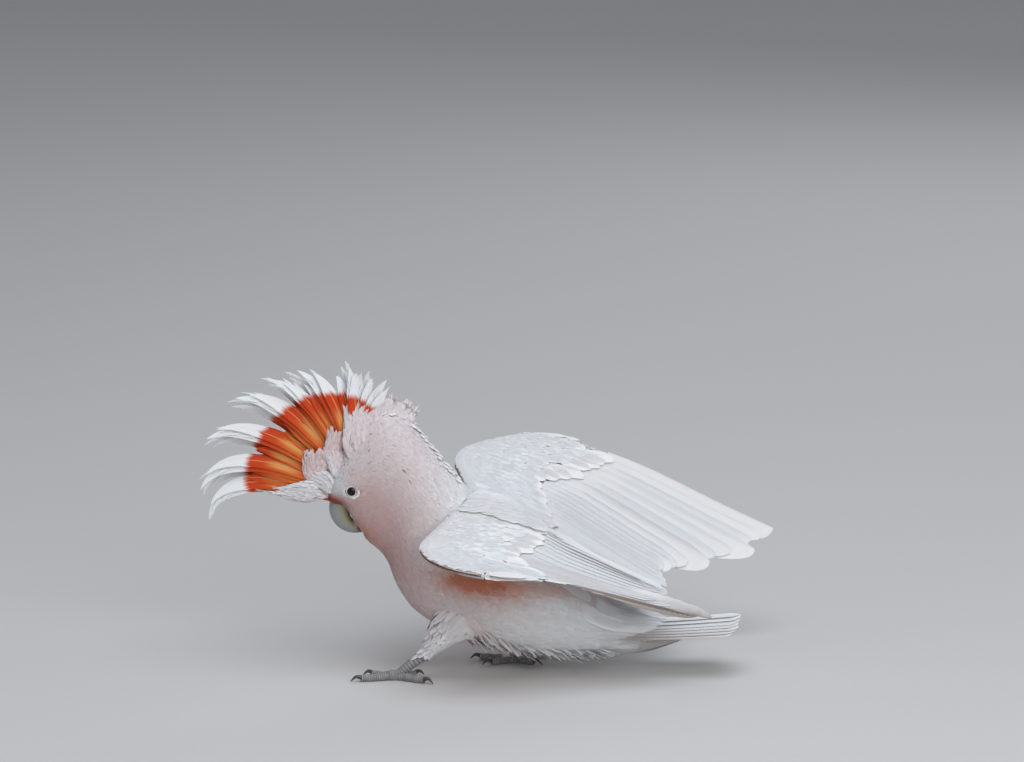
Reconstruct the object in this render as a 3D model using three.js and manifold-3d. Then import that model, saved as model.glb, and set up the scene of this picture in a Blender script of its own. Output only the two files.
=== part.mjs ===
// A life-size pink cockatoo, standing with its crest fanned and both wings held half open.
// Millimetres, +Z up. The bird faces -X, its left side is at -Y, and it stands on Z = 0.
// Every piece is a loft: closed rings of points along a line, joined and capped.
import * as THREE from "three";
import { mergeVertices } from "three/addons/utils/BufferGeometryUtils.js";
import Module from "manifold-3d";

const wasm = await Module();
wasm.setup();

const GAP = 0.3; // clearance between neighbouring pieces
const DEGREE = Math.PI / 180;
const LEFT = -1; // the sign of Y on each side of the body
const RIGHT = 1;

const at = (x, y, z) => new THREE.Vector3(x, y, z);
const mix = (a, b, t) => a + (b - a) * t;
const smooth = (a, b, x) => THREE.MathUtils.smoothstep(x, a, b);
const blend = (a, b, t) => new THREE.Vector3().lerpVectors(a, b, t);
// A smooth line through points that are evenly spaced in its parameter, 0 to 1.
const through = (points) => new THREE.CatmullRomCurve3(points, false, "catmullrom", 0.5);
// The same for single numbers.
function numbers(values) {
  const line = through(values.map((value) => at(value, 0, 0)));
  return (t) => line.getPoint(t).x;
}
const steps = (count, from = 0, to = 1) =>
  Array.from({ length: count + 1 }, (_, i) => mix(from, to, i / count));

// ---- Solids -------------------------------------------------------------------------------

// The closed solid through rings of equal length, with a strip of faces across each end ring.
function loft(rings) {
  const count = rings[0].length;
  const points = rings.flat();
  const faces = [];
  for (let r = 0; r + 1 < rings.length; r++)
    for (let i = 0; i < count; i++) {
      const a = r * count + i;
      const b = r * count + ((i + 1) % count);
      faces.push([a, b, b + count], [a, b + count, a + count]);
    }
  const last = (rings.length - 1) * count;
  for (let i = 0; i < count / 2 - 1; i++) {
    const [a, b, c, d] = [i, i + 1, count - 2 - i, count - 1 - i];
    faces.push([a, c, b], [a, d, c]);
    faces.push([last + a, last + b, last + c], [last + a, last + c, last + d]);
  }
  return solid(points, faces);
}

// A manifold solid from points and triangles, with its faces turned outwards.
function solid(points, faces) {
  let volume = 0;
  for (const [a, b, c] of faces)
    volume += points[a].dot(new THREE.Vector3().crossVectors(points[b], points[c]));
  const turned = volume < 0 ? faces.map(([a, b, c]) => [a, c, b]) : faces;
  return new wasm.Manifold(
    new wasm.Mesh({
      numProp: 3,
      vertProperties: new Float32Array(points.flatMap((p) => [p.x, p.y, p.z])),
      triVerts: new Uint32Array(turned.flat()),
    }),
  );
}

// The manifold solid of a closed three.js geometry.
function solidOf(geometry) {
  geometry.deleteAttribute("normal");
  geometry.deleteAttribute("uv");
  const merged = mergeVertices(geometry, 1e-4);
  const { array } = merged.attributes.position;
  const index = Array.from(merged.index.array);
  const points = Array.from({ length: array.length / 3 }, (_, i) =>
    at(array[3 * i], array[3 * i + 1], array[3 * i + 2]),
  );
  const faces = [];
  for (let i = 0; i < index.length; i += 3) {
    const [a, b, c] = index.slice(i, i + 3);
    if (a !== b && b !== c && c !== a) faces.push([a, b, c]);
  }
  return solid(points, faces);
}

const largest = (made) =>
  made.decompose().reduce((best, body) => (body.volume() > best.volume() ? body : best));
const without = (made, ...cutters) =>
  largest(cutters.reduce((rest, cutter) => rest.subtract(cutter), made));
const joined = (pieces) => pieces.reduce((all, piece) => all.add(piece));

// An oval ring round a centre, spanned by two half axes.
function oval(centre, up, side, count, shape = () => 1) {
  return steps(count).slice(0, count).map((turn) => {
    const angle = 2 * Math.PI * turn + Math.PI / count;
    return centre
      .clone()
      .addScaledVector(up, Math.cos(angle))
      .addScaledVector(side, Math.sin(angle) * shape(Math.cos(angle)));
  });
}

// A tapering round limb along a line, with its radius as a function of the way along.
function limb(points, radius, segments, around, grow = 0) {
  const line = new THREE.CatmullRomCurve3(points);
  const side = at(0, 1, 0);
  return loft(
    steps(segments).map((t) => {
      const along = line.getTangent(t);
      const across = side.clone().addScaledVector(along, -side.dot(along)).normalize();
      const up = new THREE.Vector3().crossVectors(along, across);
      const r = radius(t) + grow;
      return oval(line.getPoint(t), up.multiplyScalar(r), across.multiplyScalar(r), around);
    }),
  );
}

// A thin sheet: rows of top points, each paired with the bottom point under it.
function sheet(rows) {
  return loft(rows.map((row) => [...row.map((p) => p.top), ...row.map((p) => p.bottom).reverse()]));
}

// ---- The body: one smooth form from face to vent, parted at the throat and shoulders --------

// Each station holds the back line, the throat and belly line, and the half width.
const BODY = [
  { back: [-113.4, 142.5], belly: [-112.6, 139.5], half: 1.5 }, // brow
  { back: [-111.8, 148.5], belly: [-107.1, 135.3], half: 9.5 },
  { back: [-108.7, 161.0], belly: [-97.6, 131.5], half: 15 },
  { back: [-100.8, 178.0], belly: [-91.3, 120.8], half: 19 }, // eyes
  { back: [-88.2, 195.0], belly: [-81.9, 107.1], half: 23 },
  { back: [-69.5, 210.5], belly: [-70.9, 97.4], half: 27 },
  { back: [-49.5, 204.5], belly: [-64.6, 87.8], half: 30 }, // throat
  { back: [-34.0, 187.0], belly: [-60.6, 76.5], half: 33 },
  { back: [-20.5, 169.5], belly: [-54.3, 63.6], half: 36 },
  { back: [-6.0, 153.5], belly: [-42.5, 49.1], half: 39.5 }, // shoulders
  { back: [11.8, 136.9], belly: [-19.7, 34.6], half: 41 },
  { back: [39.4, 121.0], belly: [13.4, 21.7], half: 41 },
  { back: [66.9, 101.5], belly: [47.2, 14.5], half: 38 },
  { back: [92.9, 79.0], belly: [78.7, 13.7], half: 31.5 },
  { back: [113.0, 60.0], belly: [108.7, 14.8], half: 24 },
  { back: [139.0, 51.5], belly: [140.0, 16.5], half: 15 },
  { back: [171.0, 35.0], belly: [172.0, 26.5], half: 2 }, // tip of the feathers under the tail
];
const THROAT = 5.5 / (BODY.length - 1); // where the head meets the neck
const SHOULDERS = 8.6 / (BODY.length - 1); // where the neck meets the trunk
const BACK_BREADTH = 0.1; // the body is this much wider over the back than at the keel
const BODY_SIDES = 18;

const backLine = through(BODY.map(({ back: [x, z] }) => at(x, 0, z)));
const bellyLine = through(BODY.map(({ belly: [x, z] }) => at(x, 0, z)));
const halfWidth = numbers(BODY.map(({ half }) => half));

function bodyRing(t, count, grow) {
  const back = backLine.getPoint(t);
  const belly = bellyLine.getPoint(t);
  const centre = blend(back, belly, 0.5);
  const up = back.clone().sub(centre);
  up.setLength(up.length() + grow);
  return oval(centre, up, at(0, halfWidth(t) + grow, 0), count, (c) => 1 + BACK_BREADTH * c);
}

const bodyPart = (from, to, rings, grow) =>
  loft(steps(rings, from, to).map((t) => bodyRing(t, BODY_SIDES, grow)));

const PART_LINE = 0.0022; // the gap at each parting, as a share of the body's line
// Where each part starts and ends along the line, and how many rings it has.
const BODY_PARTS = {
  head: [0, THROAT - PART_LINE, 11],
  neck: [THROAT, SHOULDERS - PART_LINE, 5],
  trunk: [SHOULDERS, 1, 12],
};
const flesh = (name, grow = 0) => bodyPart(...BODY_PARTS[name], grow);

// ---- Eyes and bill ------------------------------------------------------------------------

const EYE = { x: -93.3, y: 14.9, z: 150.2, radius: 5.4 };

function eye(side, grow = 0) {
  const ball = new THREE.SphereGeometry(EYE.radius + grow, 10, 6);
  ball.translate(EYE.x, side * EYE.y, EYE.z);
  return solidOf(ball);
}

// The upper bill hooks down and back from the brow: an oval section that shrinks round an arc.
const BILL = {
  pivot: [-91.5, 133.5], // centre of the culmen's arc, in x and z
  culmen: 20, // radius of that arc
  sweep: [160, 292], // degrees from inside the face to the tip
  root: 172, // degrees at which the bill starts to taper
  depth: 17,
  width: 8, // half of it
  tipDrop: 1.5, // how far the tip leaves the arc
};

function billUpper(grow = 0) {
  const [from, to] = BILL.sweep;
  const pivot = at(BILL.pivot[0], 0, BILL.pivot[1]);
  return loft(
    steps(7, from, to).map((degrees) => {
      const t = Math.max(0, (degrees - BILL.root) / (to - BILL.root));
      const out = at(Math.cos(degrees * DEGREE), 0, Math.sin(degrees * DEGREE));
      const taper = Math.sqrt(1 - 0.985 * t ** 1.7);
      const depth = (BILL.depth / 2) * taper + grow;
      const reach = BILL.culmen + BILL.tipDrop * t - depth + grow;
      const centre = pivot.clone().addScaledVector(out, reach);
      return oval(centre, out.multiplyScalar(depth), at(0, BILL.width * taper + grow, 0), 12);
    }),
  );
}

// The lower bill is a short scoop that closes up inside the hook.
const SCOOP = [
  { x: -86, z: 131, deep: 6, half: 6.5 },
  { x: -88.5, z: 124, deep: 5, half: 6.2 },
  { x: -91, z: 118.5, deep: 3.2, half: 5 },
  { x: -92.8, z: 115.2, deep: 1.4, half: 3.4 },
];

function billLower(grow = 0) {
  const line = through(SCOOP.map(({ x, z }) => at(x, 0, z)));
  const deep = numbers(SCOOP.map((s) => s.deep));
  const half = numbers(SCOOP.map((s) => s.half));
  return loft(
    steps(5).map((t) => {
      const along = line.getTangent(t);
      const up = at(-along.z, 0, along.x).multiplyScalar(deep(t) + grow);
      return oval(line.getPoint(t), up, at(0, half(t) + grow, 0), 10);
    }),
  );
}

// ---- Crest: a fan of long curved feathers, closed and thick at its foot ----------------------

const CREST = {
  feathers: 15,
  rootFront: [-107, 140.5], // x and z of the first and last root on the crown
  rootBack: [-86, 183],
  crown: 5, // how far the line of roots bows upwards
  // The way each feather points, in degrees: they stand in pairs, with a wide parting before the
  // last four.
  aim: [190, 184, 180, 167, 162, 150, 145, 136, 133, 129, 120, 98, 94, 85, 66],
  // Evenly from the brow to the crown: how far a feather curls forwards along its length
  // (degrees), its length, and the reach of the closed fan at its foot.
  curl: [104, 88, 62, 54, 50, 42, 6, -30],
  length: [115, 120, 117, 108, 95, 84, 67, 58],
  closed: [60, 56, 60, 58, 60, 58, 56, 48],
  droop: 11, // degrees by which the base hangs lower than its feathers at the brow
  curlPower: 3, // a feather is nearly straight at first and curls most near its tip
  half: 6.6, // half the width of a feather
  thick: 0.9,
  rows: 3.2, // how far the two rows stand from the middle
  facing: 32 * DEGREE, // each vane is turned this far out of the fan's plane
  baseDeep: 9, // how far the foot of the fan reaches into the head
  baseThick: [11, 1.4], // half its thickness at the head and at its outer edge
};
const crestAim = numbers(CREST.aim);
const crestCurl = numbers(CREST.curl);
const crestLength = numbers(CREST.length);
const crestClosed = numbers(CREST.closed);

// The feather whose root is the share f of the way from the brow to the crown.
function crestFeather(f, side) {
  const root = at(
    mix(CREST.rootFront[0], CREST.rootBack[0], f),
    0,
    mix(CREST.rootFront[1], CREST.rootBack[1], f) + CREST.crown * Math.sin(Math.PI * f),
  );
  const turn = crestCurl(f);
  const launch = crestAim(f) - turn / (CREST.curlPower + 1);
  return { side, root, launch, turn, length: crestLength(f) };
}

// The middle line of a crest feather: its heading grows with a power of the way along.
function crestLine({ side, root, launch, turn, length }, segments) {
  const line = [root.clone()];
  for (let n = 0; n < segments; n++) {
    const heading = (launch + turn * ((n + 0.5) / segments) ** CREST.curlPower) * DEGREE;
    const step = at(Math.cos(heading), 0, Math.sin(heading)).multiplyScalar(length / segments);
    line.push(line[n].clone().add(step));
  }
  return line.map((point, n) => point.setY(side * CREST.rows * mix(0.4, 1.6, n / segments)));
}

// Half the vane's width along a crest feather: narrow at the quill, full in the middle, a soft point.
const crestHalf = (t) => CREST.half * (0.42 + 0.58 * smooth(0, 0.45, t)) * (1 - t ** 3) ** 0.8;

function crestVane(feather, segments) {
  const line = crestLine(feather, segments);
  return loft(
    line.map((point, n) => {
      const t = n / segments;
      const next = line[Math.min(n + 1, segments)].clone();
      const along = next.sub(line[Math.max(n - 1, 0)]).normalize();
      const inPlane = at(-along.z, 0, along.x);
      const across = inPlane
        .multiplyScalar(Math.cos(CREST.facing))
        .addScaledVector(at(0, 1, 0), feather.side * Math.sin(CREST.facing));
      const face = new THREE.Vector3().crossVectors(along, across).multiplyScalar(CREST.thick);
      return oval(point, face, across.multiplyScalar(crestHalf(t) + 0.5), 4);
    }),
  );
}

// The foot of the fan: overlapping feathers that make one wedge, thick at the crown.
function crestBase() {
  const rows = steps(8).map((f) => {
    const { root, launch } = crestFeather(f, 0);
    const lie = (launch + CREST.droop * (1 - f) ** 4) * DEGREE;
    const out = at(Math.cos(lie), 0, Math.sin(lie));
    const inner = root.clone().addScaledVector(out, -CREST.baseDeep);
    const outer = root.clone().addScaledVector(out, crestClosed(f));
    return [0, 0.35, 0.7, 1].map((q) => {
      const along = 0.35 + 0.65 * Math.sin(Math.PI * mix(0.12, 0.88, f)); // thinner at both ends
      const thick = mix(...CREST.baseThick, q ** 0.6) * along;
      const middle = blend(inner, outer, q);
      return { top: middle.clone().setY(-thick), bottom: middle.clone().setY(thick) };
    });
  });
  return sheet(rows);
}

function crest() {
  const vanes = steps(CREST.feathers - 1).map((f, i) =>
    crestVane(crestFeather(f, i % 2 ? RIGHT : LEFT), f < 0.7 ? 6 : 4),
  );
  return joined([crestBase(), ...vanes]);
}

// ---- Wings: one curved sheet from the front edge to the feather tips -------------------------

// Both lines run from the body out to the leading edge of the hand, and hold evenly spaced points.
const WINGS = {
  left: {
    side: LEFT,
    front: [
      [-4, -20, 140], [-14, -36, 136], [-27, -53, 128], [-40, -70, 118.5],
      [-36, -84, 112], [-16, -97, 106], [14, -105, 102],
    ],
    tips: [
      [110, -12, 87], [146, -24, 75.5], [159, -35, 71.5], [152, -46, 71.5],
      [160, -50, 66], [182, -44, 56.5], [196, -38, 50.5],
    ],
    bow: [13, 6], // how far feathers arch upwards, at the body and at the leading edge
  },
  right: {
    side: RIGHT,
    front: [
      [0, 11, 136], [-4, 34, 140], [-9, 55, 145], [-14, 74, 152],
      [-8, 93, 159], [14, 109, 163], [42, 121, 165],
    ],
    tips: [
      [126, 2, 74], [152, 30, 63], [160, 54, 56], [156, 76, 65],
      [180, 92, 62], [229, 112, 69], [253, 130, 86],
    ],
    bow: [8, 13],
  },
};
const WRIST = 13 / 23; // the way out to the wrist: 13 inner feathers, then 10 primaries
const COVERTS_REACH = [0.56, 0.46]; // share of the chord under small feathers, body and hand
const CHORD = 150; // a typical distance from the front edge to the feather tips
const ARM = { body: 13, hand: 8, edge: 2.4 }; // the arm's thickness, and that of its thin back edge
const VANES = { root: 1.1, tip: 0.5 }; // half the thickness of the sheets of flight feathers
const FLIGHT = {
  secondaries: { from: 0, to: WRIST - 0.004, feathers: 13, perFeather: 2, scallop: 0.035 },
  primaries: { from: WRIST, to: 1, feathers: 10, perFeather: 3, scallop: 0.06 },
};

function wingSheet({ side, front, tips, bow }) {
  const frontLine = through(front.map((p) => at(...p)));
  const tipLine = through(tips.map((p) => at(...p)));
  const flat = (p, q) => {
    const point = blend(frontLine.getPoint(p), tipLine.getPoint(p), q);
    return point.add(at(0, 0, mix(...bow, p) * 6.75 * q * (1 - q) ** 2));
  };
  return (p, q) => {
    const e = 0.01;
    const across = flat(Math.min(p + e, 1), q).sub(flat(Math.max(p - e, 0), q));
    const along = flat(p, q + e).sub(flat(p, q - e));
    const normal = new THREE.Vector3().crossVectors(along, across).setLength(side);
    return { point: flat(p, q), normal };
  };
}

function onWing(surface, p, q, above, below) {
  const { point, normal } = surface(p, q);
  return {
    top: point.clone().addScaledVector(normal, above),
    bottom: point.clone().addScaledVector(normal, -below),
  };
}

// The arm with its small feathers: thick and rounded in front, thin at the back.
function wingCoverts(wing, grow = 0) {
  const surface = wingSheet(wing);
  return sheet(
    [0, 0.015, 0.06, 0.18, 0.4, 0.7, 1].map((chord) =>
      steps(10).map((p) => {
        const q = chord * (mix(...COVERTS_REACH, p) + grow / CHORD);
        const rounded = Math.sqrt(smooth(-0.02, 0.09, chord)) * (p > 0.97 ? 0.55 : 1);
        const deep = mix(mix(ARM.body, ARM.hand, p), ARM.edge, chord ** 0.7) * rounded;
        return onWing(surface, p, q, 0.45 * deep + grow, 0.55 * deep + grow);
      }),
    ),
  );
}

// A run of flight feathers: a thin sheet whose far edge is scalloped by the feather tips.
function flightFeathers(wing, { from, to, feathers, perFeather, scallop }) {
  const surface = wingSheet(wing);
  return sheet(
    [0, 0.5, 0.88, 1].map((chord) =>
      steps(feathers * perFeather, from, to).map((p, i) => {
        const across = (i % perFeather) / perFeather;
        const notch = scallop * (1 - Math.sin(Math.PI * mix(0.08, 0.92, across)) ** 0.5);
        const start = mix(...COVERTS_REACH, p) + 0.002;
        const q = mix(start, 1 - notch, chord);
        const deep = mix(VANES.root, VANES.tip, chord);
        return onWing(surface, p, q, deep, deep);
      }),
    ),
  );
}

// ---- Tail: twelve feathers in a low tent ----------------------------------------------------

const TAIL = {
  root: [88, 2, 37.5],
  tip: [216, -6, 45.5],
  half: [17, 29], // half width at the root and at the tip
  lean: 1 * DEGREE,
  tent: 11 * DEGREE,
  feathers: 12,
  thick: [2.6, 1.0],
  notch: 0.025, // how far each tip stands out, as a share of the length
  rounding: 0.1, // how much shorter the outermost feathers are
  sag: 1.5,
};

function tailSheet(grow = 0) {
  const root = at(...TAIL.root);
  const tip = at(...TAIL.tip);
  const count = TAIL.feathers * 2;
  return sheet(
    [0, 0.5, 0.93, 1].map((chord) =>
      steps(count).map((u, i) => {
        const out = 2 * u - 1; // -1 at the left edge, 1 at the right
        const end = 1 - TAIL.rounding * out * out - (i % 2 ? 0 : TAIL.notch);
        const middle = blend(root, tip, chord * end);
        const half = mix(...TAIL.half, chord ** 0.8) + grow;
        const slope = TAIL.lean - TAIL.tent * Math.sign(out);
        const sag = TAIL.sag * Math.sin(Math.PI * chord);
        const point = middle.add(at(0, out * half, out * half * Math.tan(slope) - sag));
        const deep = mix(...TAIL.thick, chord) / 2 + grow;
        return { top: point.clone().setZ(point.z + deep), bottom: point.setZ(point.z - deep) };
      }),
    ),
  );
}

// ---- Legs and feet: two toes forwards and two back --------------------------------------------

const LEGS = {
  left: { side: LEFT, hip: [-4, -20, 50], knee: [-19, -27, 38], ankle: [-35, -28, 20], foot: [-58, -29] },
  right: { side: RIGHT, hip: [34, 20, 48], knee: [48, 26, 34], ankle: [60, 27, 19.5], foot: [36, 26] },
};
const THIGH = { top: 25, ankle: 6.4 };
const SHANK = { top: 4.6, bottom: 3.7 };
// Each toe: its heading from straight ahead (positive is outwards), length, and radius.
const TOES = [
  { name: "hallux", heading: 148, length: 17, radius: 2.9, inwards: true },
  { name: "inner", heading: 24, length: 21, radius: 3.0, inwards: true },
  { name: "long", heading: 14, length: 29, radius: 3.1, inwards: false },
  { name: "outer", heading: 150, length: 25, radius: 3.1, inwards: false },
];
const CLAW = { length: 9.5, radius: 1.9, rise: 4.2 };
const floor = () => {
  const slab = new THREE.BoxGeometry(400, 400, 40);
  slab.translate(0, 0, -20);
  return solidOf(slab);
};

function thigh({ hip, knee, ankle }, grow = 0) {
  const radius = (t) => mix(THIGH.top, THIGH.ankle, Math.min(1, t * 1.04) ** 0.72);
  return limb([at(...hip), at(...knee), at(...ankle)], radius, 5, 12, grow);
}

function shank({ ankle, foot: [x, y] }, grow = 0) {
  const points = [
    at(ankle[0] + 3, ankle[1], ankle[2] + 3),
    at(...ankle),
    at(mix(ankle[0], x, 0.55), mix(ankle[1], y, 0.55), mix(ankle[2], 6, 0.6)),
    at(x + 1, y, 4.2),
    at(x - 5, y, 3),
  ];
  const radius = (t) => mix(SHANK.top, SHANK.bottom, Math.sin(Math.PI * t)) * (t > 0.99 ? 0.6 : 1);
  return limb(points, radius, 6, 10, grow);
}

function toeHeading({ side }, { heading, inwards }) {
  const out = (inwards ? -1 : 1) * side;
  return at(-Math.cos(heading * DEGREE), out * Math.sin(heading * DEGREE), 0);
}

function toeLine(leg, toe) {
  const heading = toeHeading(leg, toe);
  const start = at(...leg.foot, toe.radius * 0.86);
  return [0, 0.34, 0.67, 1].map((t, i) => {
    const point = start.clone().addScaledVector(heading, toe.length * t);
    return point.setZ(toe.radius * (i % 2 ? 0.95 : 0.82));
  });
}

// A toe swells at each joint pad, and its sole is flat on the floor.
function toe(leg, spec, grow = 0) {
  const radius = (t) => spec.radius * (1 - 0.16 * t) * (1 + 0.09 * Math.sin(6 * Math.PI * t));
  return limb(toeLine(leg, spec), radius, 4, 8, grow);
}

function claw(leg, spec, grow = 0) {
  const heading = toeHeading(leg, spec);
  const line = toeLine(leg, spec);
  const start = line[3].clone().addScaledVector(heading, -1.2).setZ(3.2);
  const crook = start.clone().addScaledVector(heading, CLAW.length * 0.55).setZ(CLAW.rise);
  const tip = start.clone().addScaledVector(heading, CLAW.length).setZ(0.9);
  return limb([start, crook, tip], (t) => mix(CLAW.radius, 0.35, t ** 1.3), 3, 6, grow);
}

// ---- Materials -------------------------------------------------------------------------------

const finish = (color, roughness) => new THREE.MeshStandardMaterial({ color, roughness, metalness: 0 });
const FINISH = {
  rose: finish(0xe3bcb4, 0.85),
  blush: finish(0xe8cfc8, 0.85),
  crest: finish(0xe0602e, 0.8),
  white: finish(0xe9e7ea, 0.8),
  horn: finish(0xc9c6b8, 0.45),
  eye: finish(0x0c0a0a, 0.08),
  foot: finish(0x8c8a8a, 0.8),
  claw: finish(0x4b4747, 0.5),
};

// ---- Assembly --------------------------------------------------------------------------------

const bird = new THREE.Group();

function add(name, made, material) {
  const { numProp, vertProperties, triVerts } = made.getMesh();
  const geometry = new THREE.BufferGeometry();
  const places = new Float32Array((vertProperties.length / numProp) * 3);
  for (let i = 0; i * numProp < vertProperties.length; i++)
    for (let axis = 0; axis < 3; axis++) places[3 * i + axis] = vertProperties[i * numProp + axis];
  geometry.setAttribute("position", new THREE.BufferAttribute(places, 3));
  geometry.setIndex(new THREE.BufferAttribute(new Uint32Array(triVerts), 1));
  const mesh = new THREE.Mesh(geometry, material);
  mesh.name = name;
  bird.add(mesh);
}

const SIDES = { left: LEFT, right: RIGHT };
const eyes = Object.values(SIDES).map((side) => eye(side, GAP));
const wholeBody = joined(Object.keys(BODY_PARTS).map((name) => flesh(name, GAP)));
add("head", without(flesh("head"), ...eyes, billUpper(GAP), billLower(GAP)), FINISH.rose);
add("neck", flesh("neck"), FINISH.blush);
add("trunk", flesh("trunk"), FINISH.blush);
add("crest", without(crest(), wholeBody, billUpper(GAP)), FINISH.crest);
add("bill_upper", billUpper(), FINISH.horn);
add("bill_lower", without(billLower(), billUpper(GAP)), FINISH.horn);

const tail = without(tailSheet(), wholeBody);
const tailRoom = tailSheet(GAP);
add("tail", tail, FINISH.white);

for (const [name, side] of Object.entries(SIDES)) {
  add(`eye_${name}`, eye(side), FINISH.eye);
  const wing = WINGS[name];
  const keepClear = [wholeBody, tailRoom];
  add(`wing_${name}_coverts`, without(wingCoverts(wing), ...keepClear), FINISH.white);
  keepClear.push(wingCoverts(wing, GAP));
  for (const [row, spec] of Object.entries(FLIGHT))
    add(`wing_${name}_${row}`, without(flightFeathers(wing, spec), ...keepClear), FINISH.white);

  const leg = LEGS[name];
  const shankMade = without(shank(leg), thigh(leg, GAP), wholeBody, floor());
  const shankRoom = shank(leg, GAP);
  add(`thigh_${name}`, without(thigh(leg), wholeBody), FINISH.blush);
  add(`shank_${name}`, shankMade, FINISH.foot);
  let taken = shankRoom;
  for (const spec of TOES) {
    const made = toe(leg, spec);
    add(`toe_${name}_${spec.name}`, without(made, taken, floor()), FINISH.foot);
    taken = taken.add(toe(leg, spec, GAP));
    add(`claw_${name}_${spec.name}`, without(claw(leg, spec), toe(leg, spec, GAP), floor()), FINISH.claw);
  }
}

// The origin is on the floor, under the middle of the whole bird.
const box = new THREE.Box3().setFromObject(bird);
const middle = box.getCenter(new THREE.Vector3());
bird.position.set(-middle.x, -middle.y, -box.min.z);

export default bird;
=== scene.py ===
# %% [markdown]
# # A pink cockatoo, life size
# A plain solid model gives the bird's true outline: head, neck, trunk, crest, wings, tail, legs and
# eyes. This lesson grows the looks over it. One smooth skin takes the place of all the flesh, and
# over the skin lie thousands of small vanes, row after row, as feathers do.
# First the solid model is loaded. Nothing in it is moved; every piece here rides on its one body.

import bpy
import numpy as np
from mathutils import Matrix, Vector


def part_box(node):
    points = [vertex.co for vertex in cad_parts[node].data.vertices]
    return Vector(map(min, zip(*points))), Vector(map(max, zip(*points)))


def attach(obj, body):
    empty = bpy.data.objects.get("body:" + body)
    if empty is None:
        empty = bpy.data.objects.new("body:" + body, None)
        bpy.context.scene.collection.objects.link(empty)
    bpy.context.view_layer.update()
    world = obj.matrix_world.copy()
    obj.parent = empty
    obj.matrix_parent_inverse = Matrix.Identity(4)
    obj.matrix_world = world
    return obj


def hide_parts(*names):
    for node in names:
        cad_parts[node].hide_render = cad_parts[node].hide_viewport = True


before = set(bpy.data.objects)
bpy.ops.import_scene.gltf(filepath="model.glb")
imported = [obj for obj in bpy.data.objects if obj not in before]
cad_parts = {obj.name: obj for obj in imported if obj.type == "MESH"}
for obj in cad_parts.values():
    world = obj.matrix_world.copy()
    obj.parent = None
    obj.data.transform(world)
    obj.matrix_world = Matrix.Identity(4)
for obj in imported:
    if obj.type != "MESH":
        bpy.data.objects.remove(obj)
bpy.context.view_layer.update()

# %% [markdown]
# ## Where things are
# It is easier to think of a bird in millimetres. All shapes below are worked out in millimetres from
# a point on the floor near the breast, and `place` turns them into metres in the solid model's own
# frame. The left eye is a ball whose centre is known in both, so it gives the step between them.

# %% From millimetres to the frame
EYE = np.array([-93.3, 14.9, 150.2])  # centre of the right eye; the left one has -y
EYE_RADIUS = 5.4
LEFT, RIGHT = -1, 1

low, high = (np.array(corner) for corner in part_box("eye_left"))
STEP = (low + high) / 2 - EYE * [0.001, -0.001, 0.001]


def place(points):
    """Metres in the frame = millimetres / 1000 + the step found from the eye."""
    return np.asarray(points, float) * 0.001 + STEP


print("step from the authoring point to the frame's origin:", STEP.round(5))

# %% [markdown]
# ## Lines and blends
# Feathered forms are soft, so nearly every size here runs smoothly from one value to the next.
# A Catmull-Rom spline passes through its own points, which makes a form easy to read from a short
# list: each point is a place on the real bird. Past its ends the spline goes straight on.

# %% Spline helpers


def blend_between(a, b, c, d, f):
    """From b (f = 0) to c (f = 1), with a before them and d after them:
    b + f/2 (c - a) + f²/2 (2 a - 5 b + 4 c - d) + f³/2 (3 (b - c) + d - a)."""
    return b + 0.5 * f * (c - a + f * (2 * a - 5 * b + 4 * c - d + f * (3 * (b - c) + d - a)))


def spline(points, t):
    """The blend above through evenly spaced points; past its ends it goes straight on at its last slope."""
    points = np.asarray(points, float)
    flat = points.ndim == 1
    points = points[:, None] if flat else points
    padded = np.vstack([2 * points[0] - points[1], points, 2 * points[-1] - points[-2]])
    spans = len(points) - 1
    t = np.asarray(t, float)
    inside = np.clip(t, 0, 1) * spans
    first = np.minimum(inside.astype(int), spans - 1)
    f = (inside - first)[..., None]
    a, b, c, d = (padded[first + k] for k in range(4))
    value = blend_between(a, b, c, d, f)
    slope = 0.5 * (c - a + f * (4 * a - 10 * b + 8 * c - 2 * d + 3 * f * (3 * (b - c) + d - a)))
    value = value + slope * (t * spans - inside)[..., None]
    return value[..., 0] if flat else value


def mix(a, b, t):
    """a + (b - a) t."""
    return a + (b - a) * t


def smooth(a, b, x):
    """0 below a, 1 above b, and 3k² - 2k³ between them."""
    k = np.clip((np.asarray(x, float) - a) / (b - a), 0, 1)
    return k * k * (3 - 2 * k)


def unit(v):
    """v divided by its length."""
    return v / np.maximum(np.linalg.norm(v, axis=-1, keepdims=True), 1e-12)


def axis_dot(a, b):
    """The dot product along the last axis, which is kept."""
    return (a * b).sum(-1, keepdims=True)


print("half way from 2 to 4:", mix(2, 4, 0.5), 2 + 2 * smooth(0, 1, 0.5), spline([0, 2, 4, 6], 0.5))

# %% [markdown]
# ## Making a mesh
# A surface is a grid of points, rows by columns. `grid_faces` joins each point to its neighbours,
# for one grid or for many alike. `make` puts the arrays into a Blender mesh in one go, which is far
# quicker than adding points one at a time, and rides the piece on the bird's one body.

# %% Mesh helpers


def grid_faces(rows, cols, copies=1, wrap=False):
    """Quads of a rows x cols grid, numbered row by row. With wrap, the last column joins the first."""
    r, c = np.meshgrid(np.arange(rows - 1), np.arange(cols if wrap else cols - 1), indexing="ij")
    right = (c + 1) % cols
    quads = np.stack([r * cols + c, r * cols + right, (r + 1) * cols + right, (r + 1) * cols + c], -1)
    starts = np.arange(copies)[:, None, None] * rows * cols
    return (starts + quads.reshape(1, -1, 4)).reshape(-1, 4)


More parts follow.
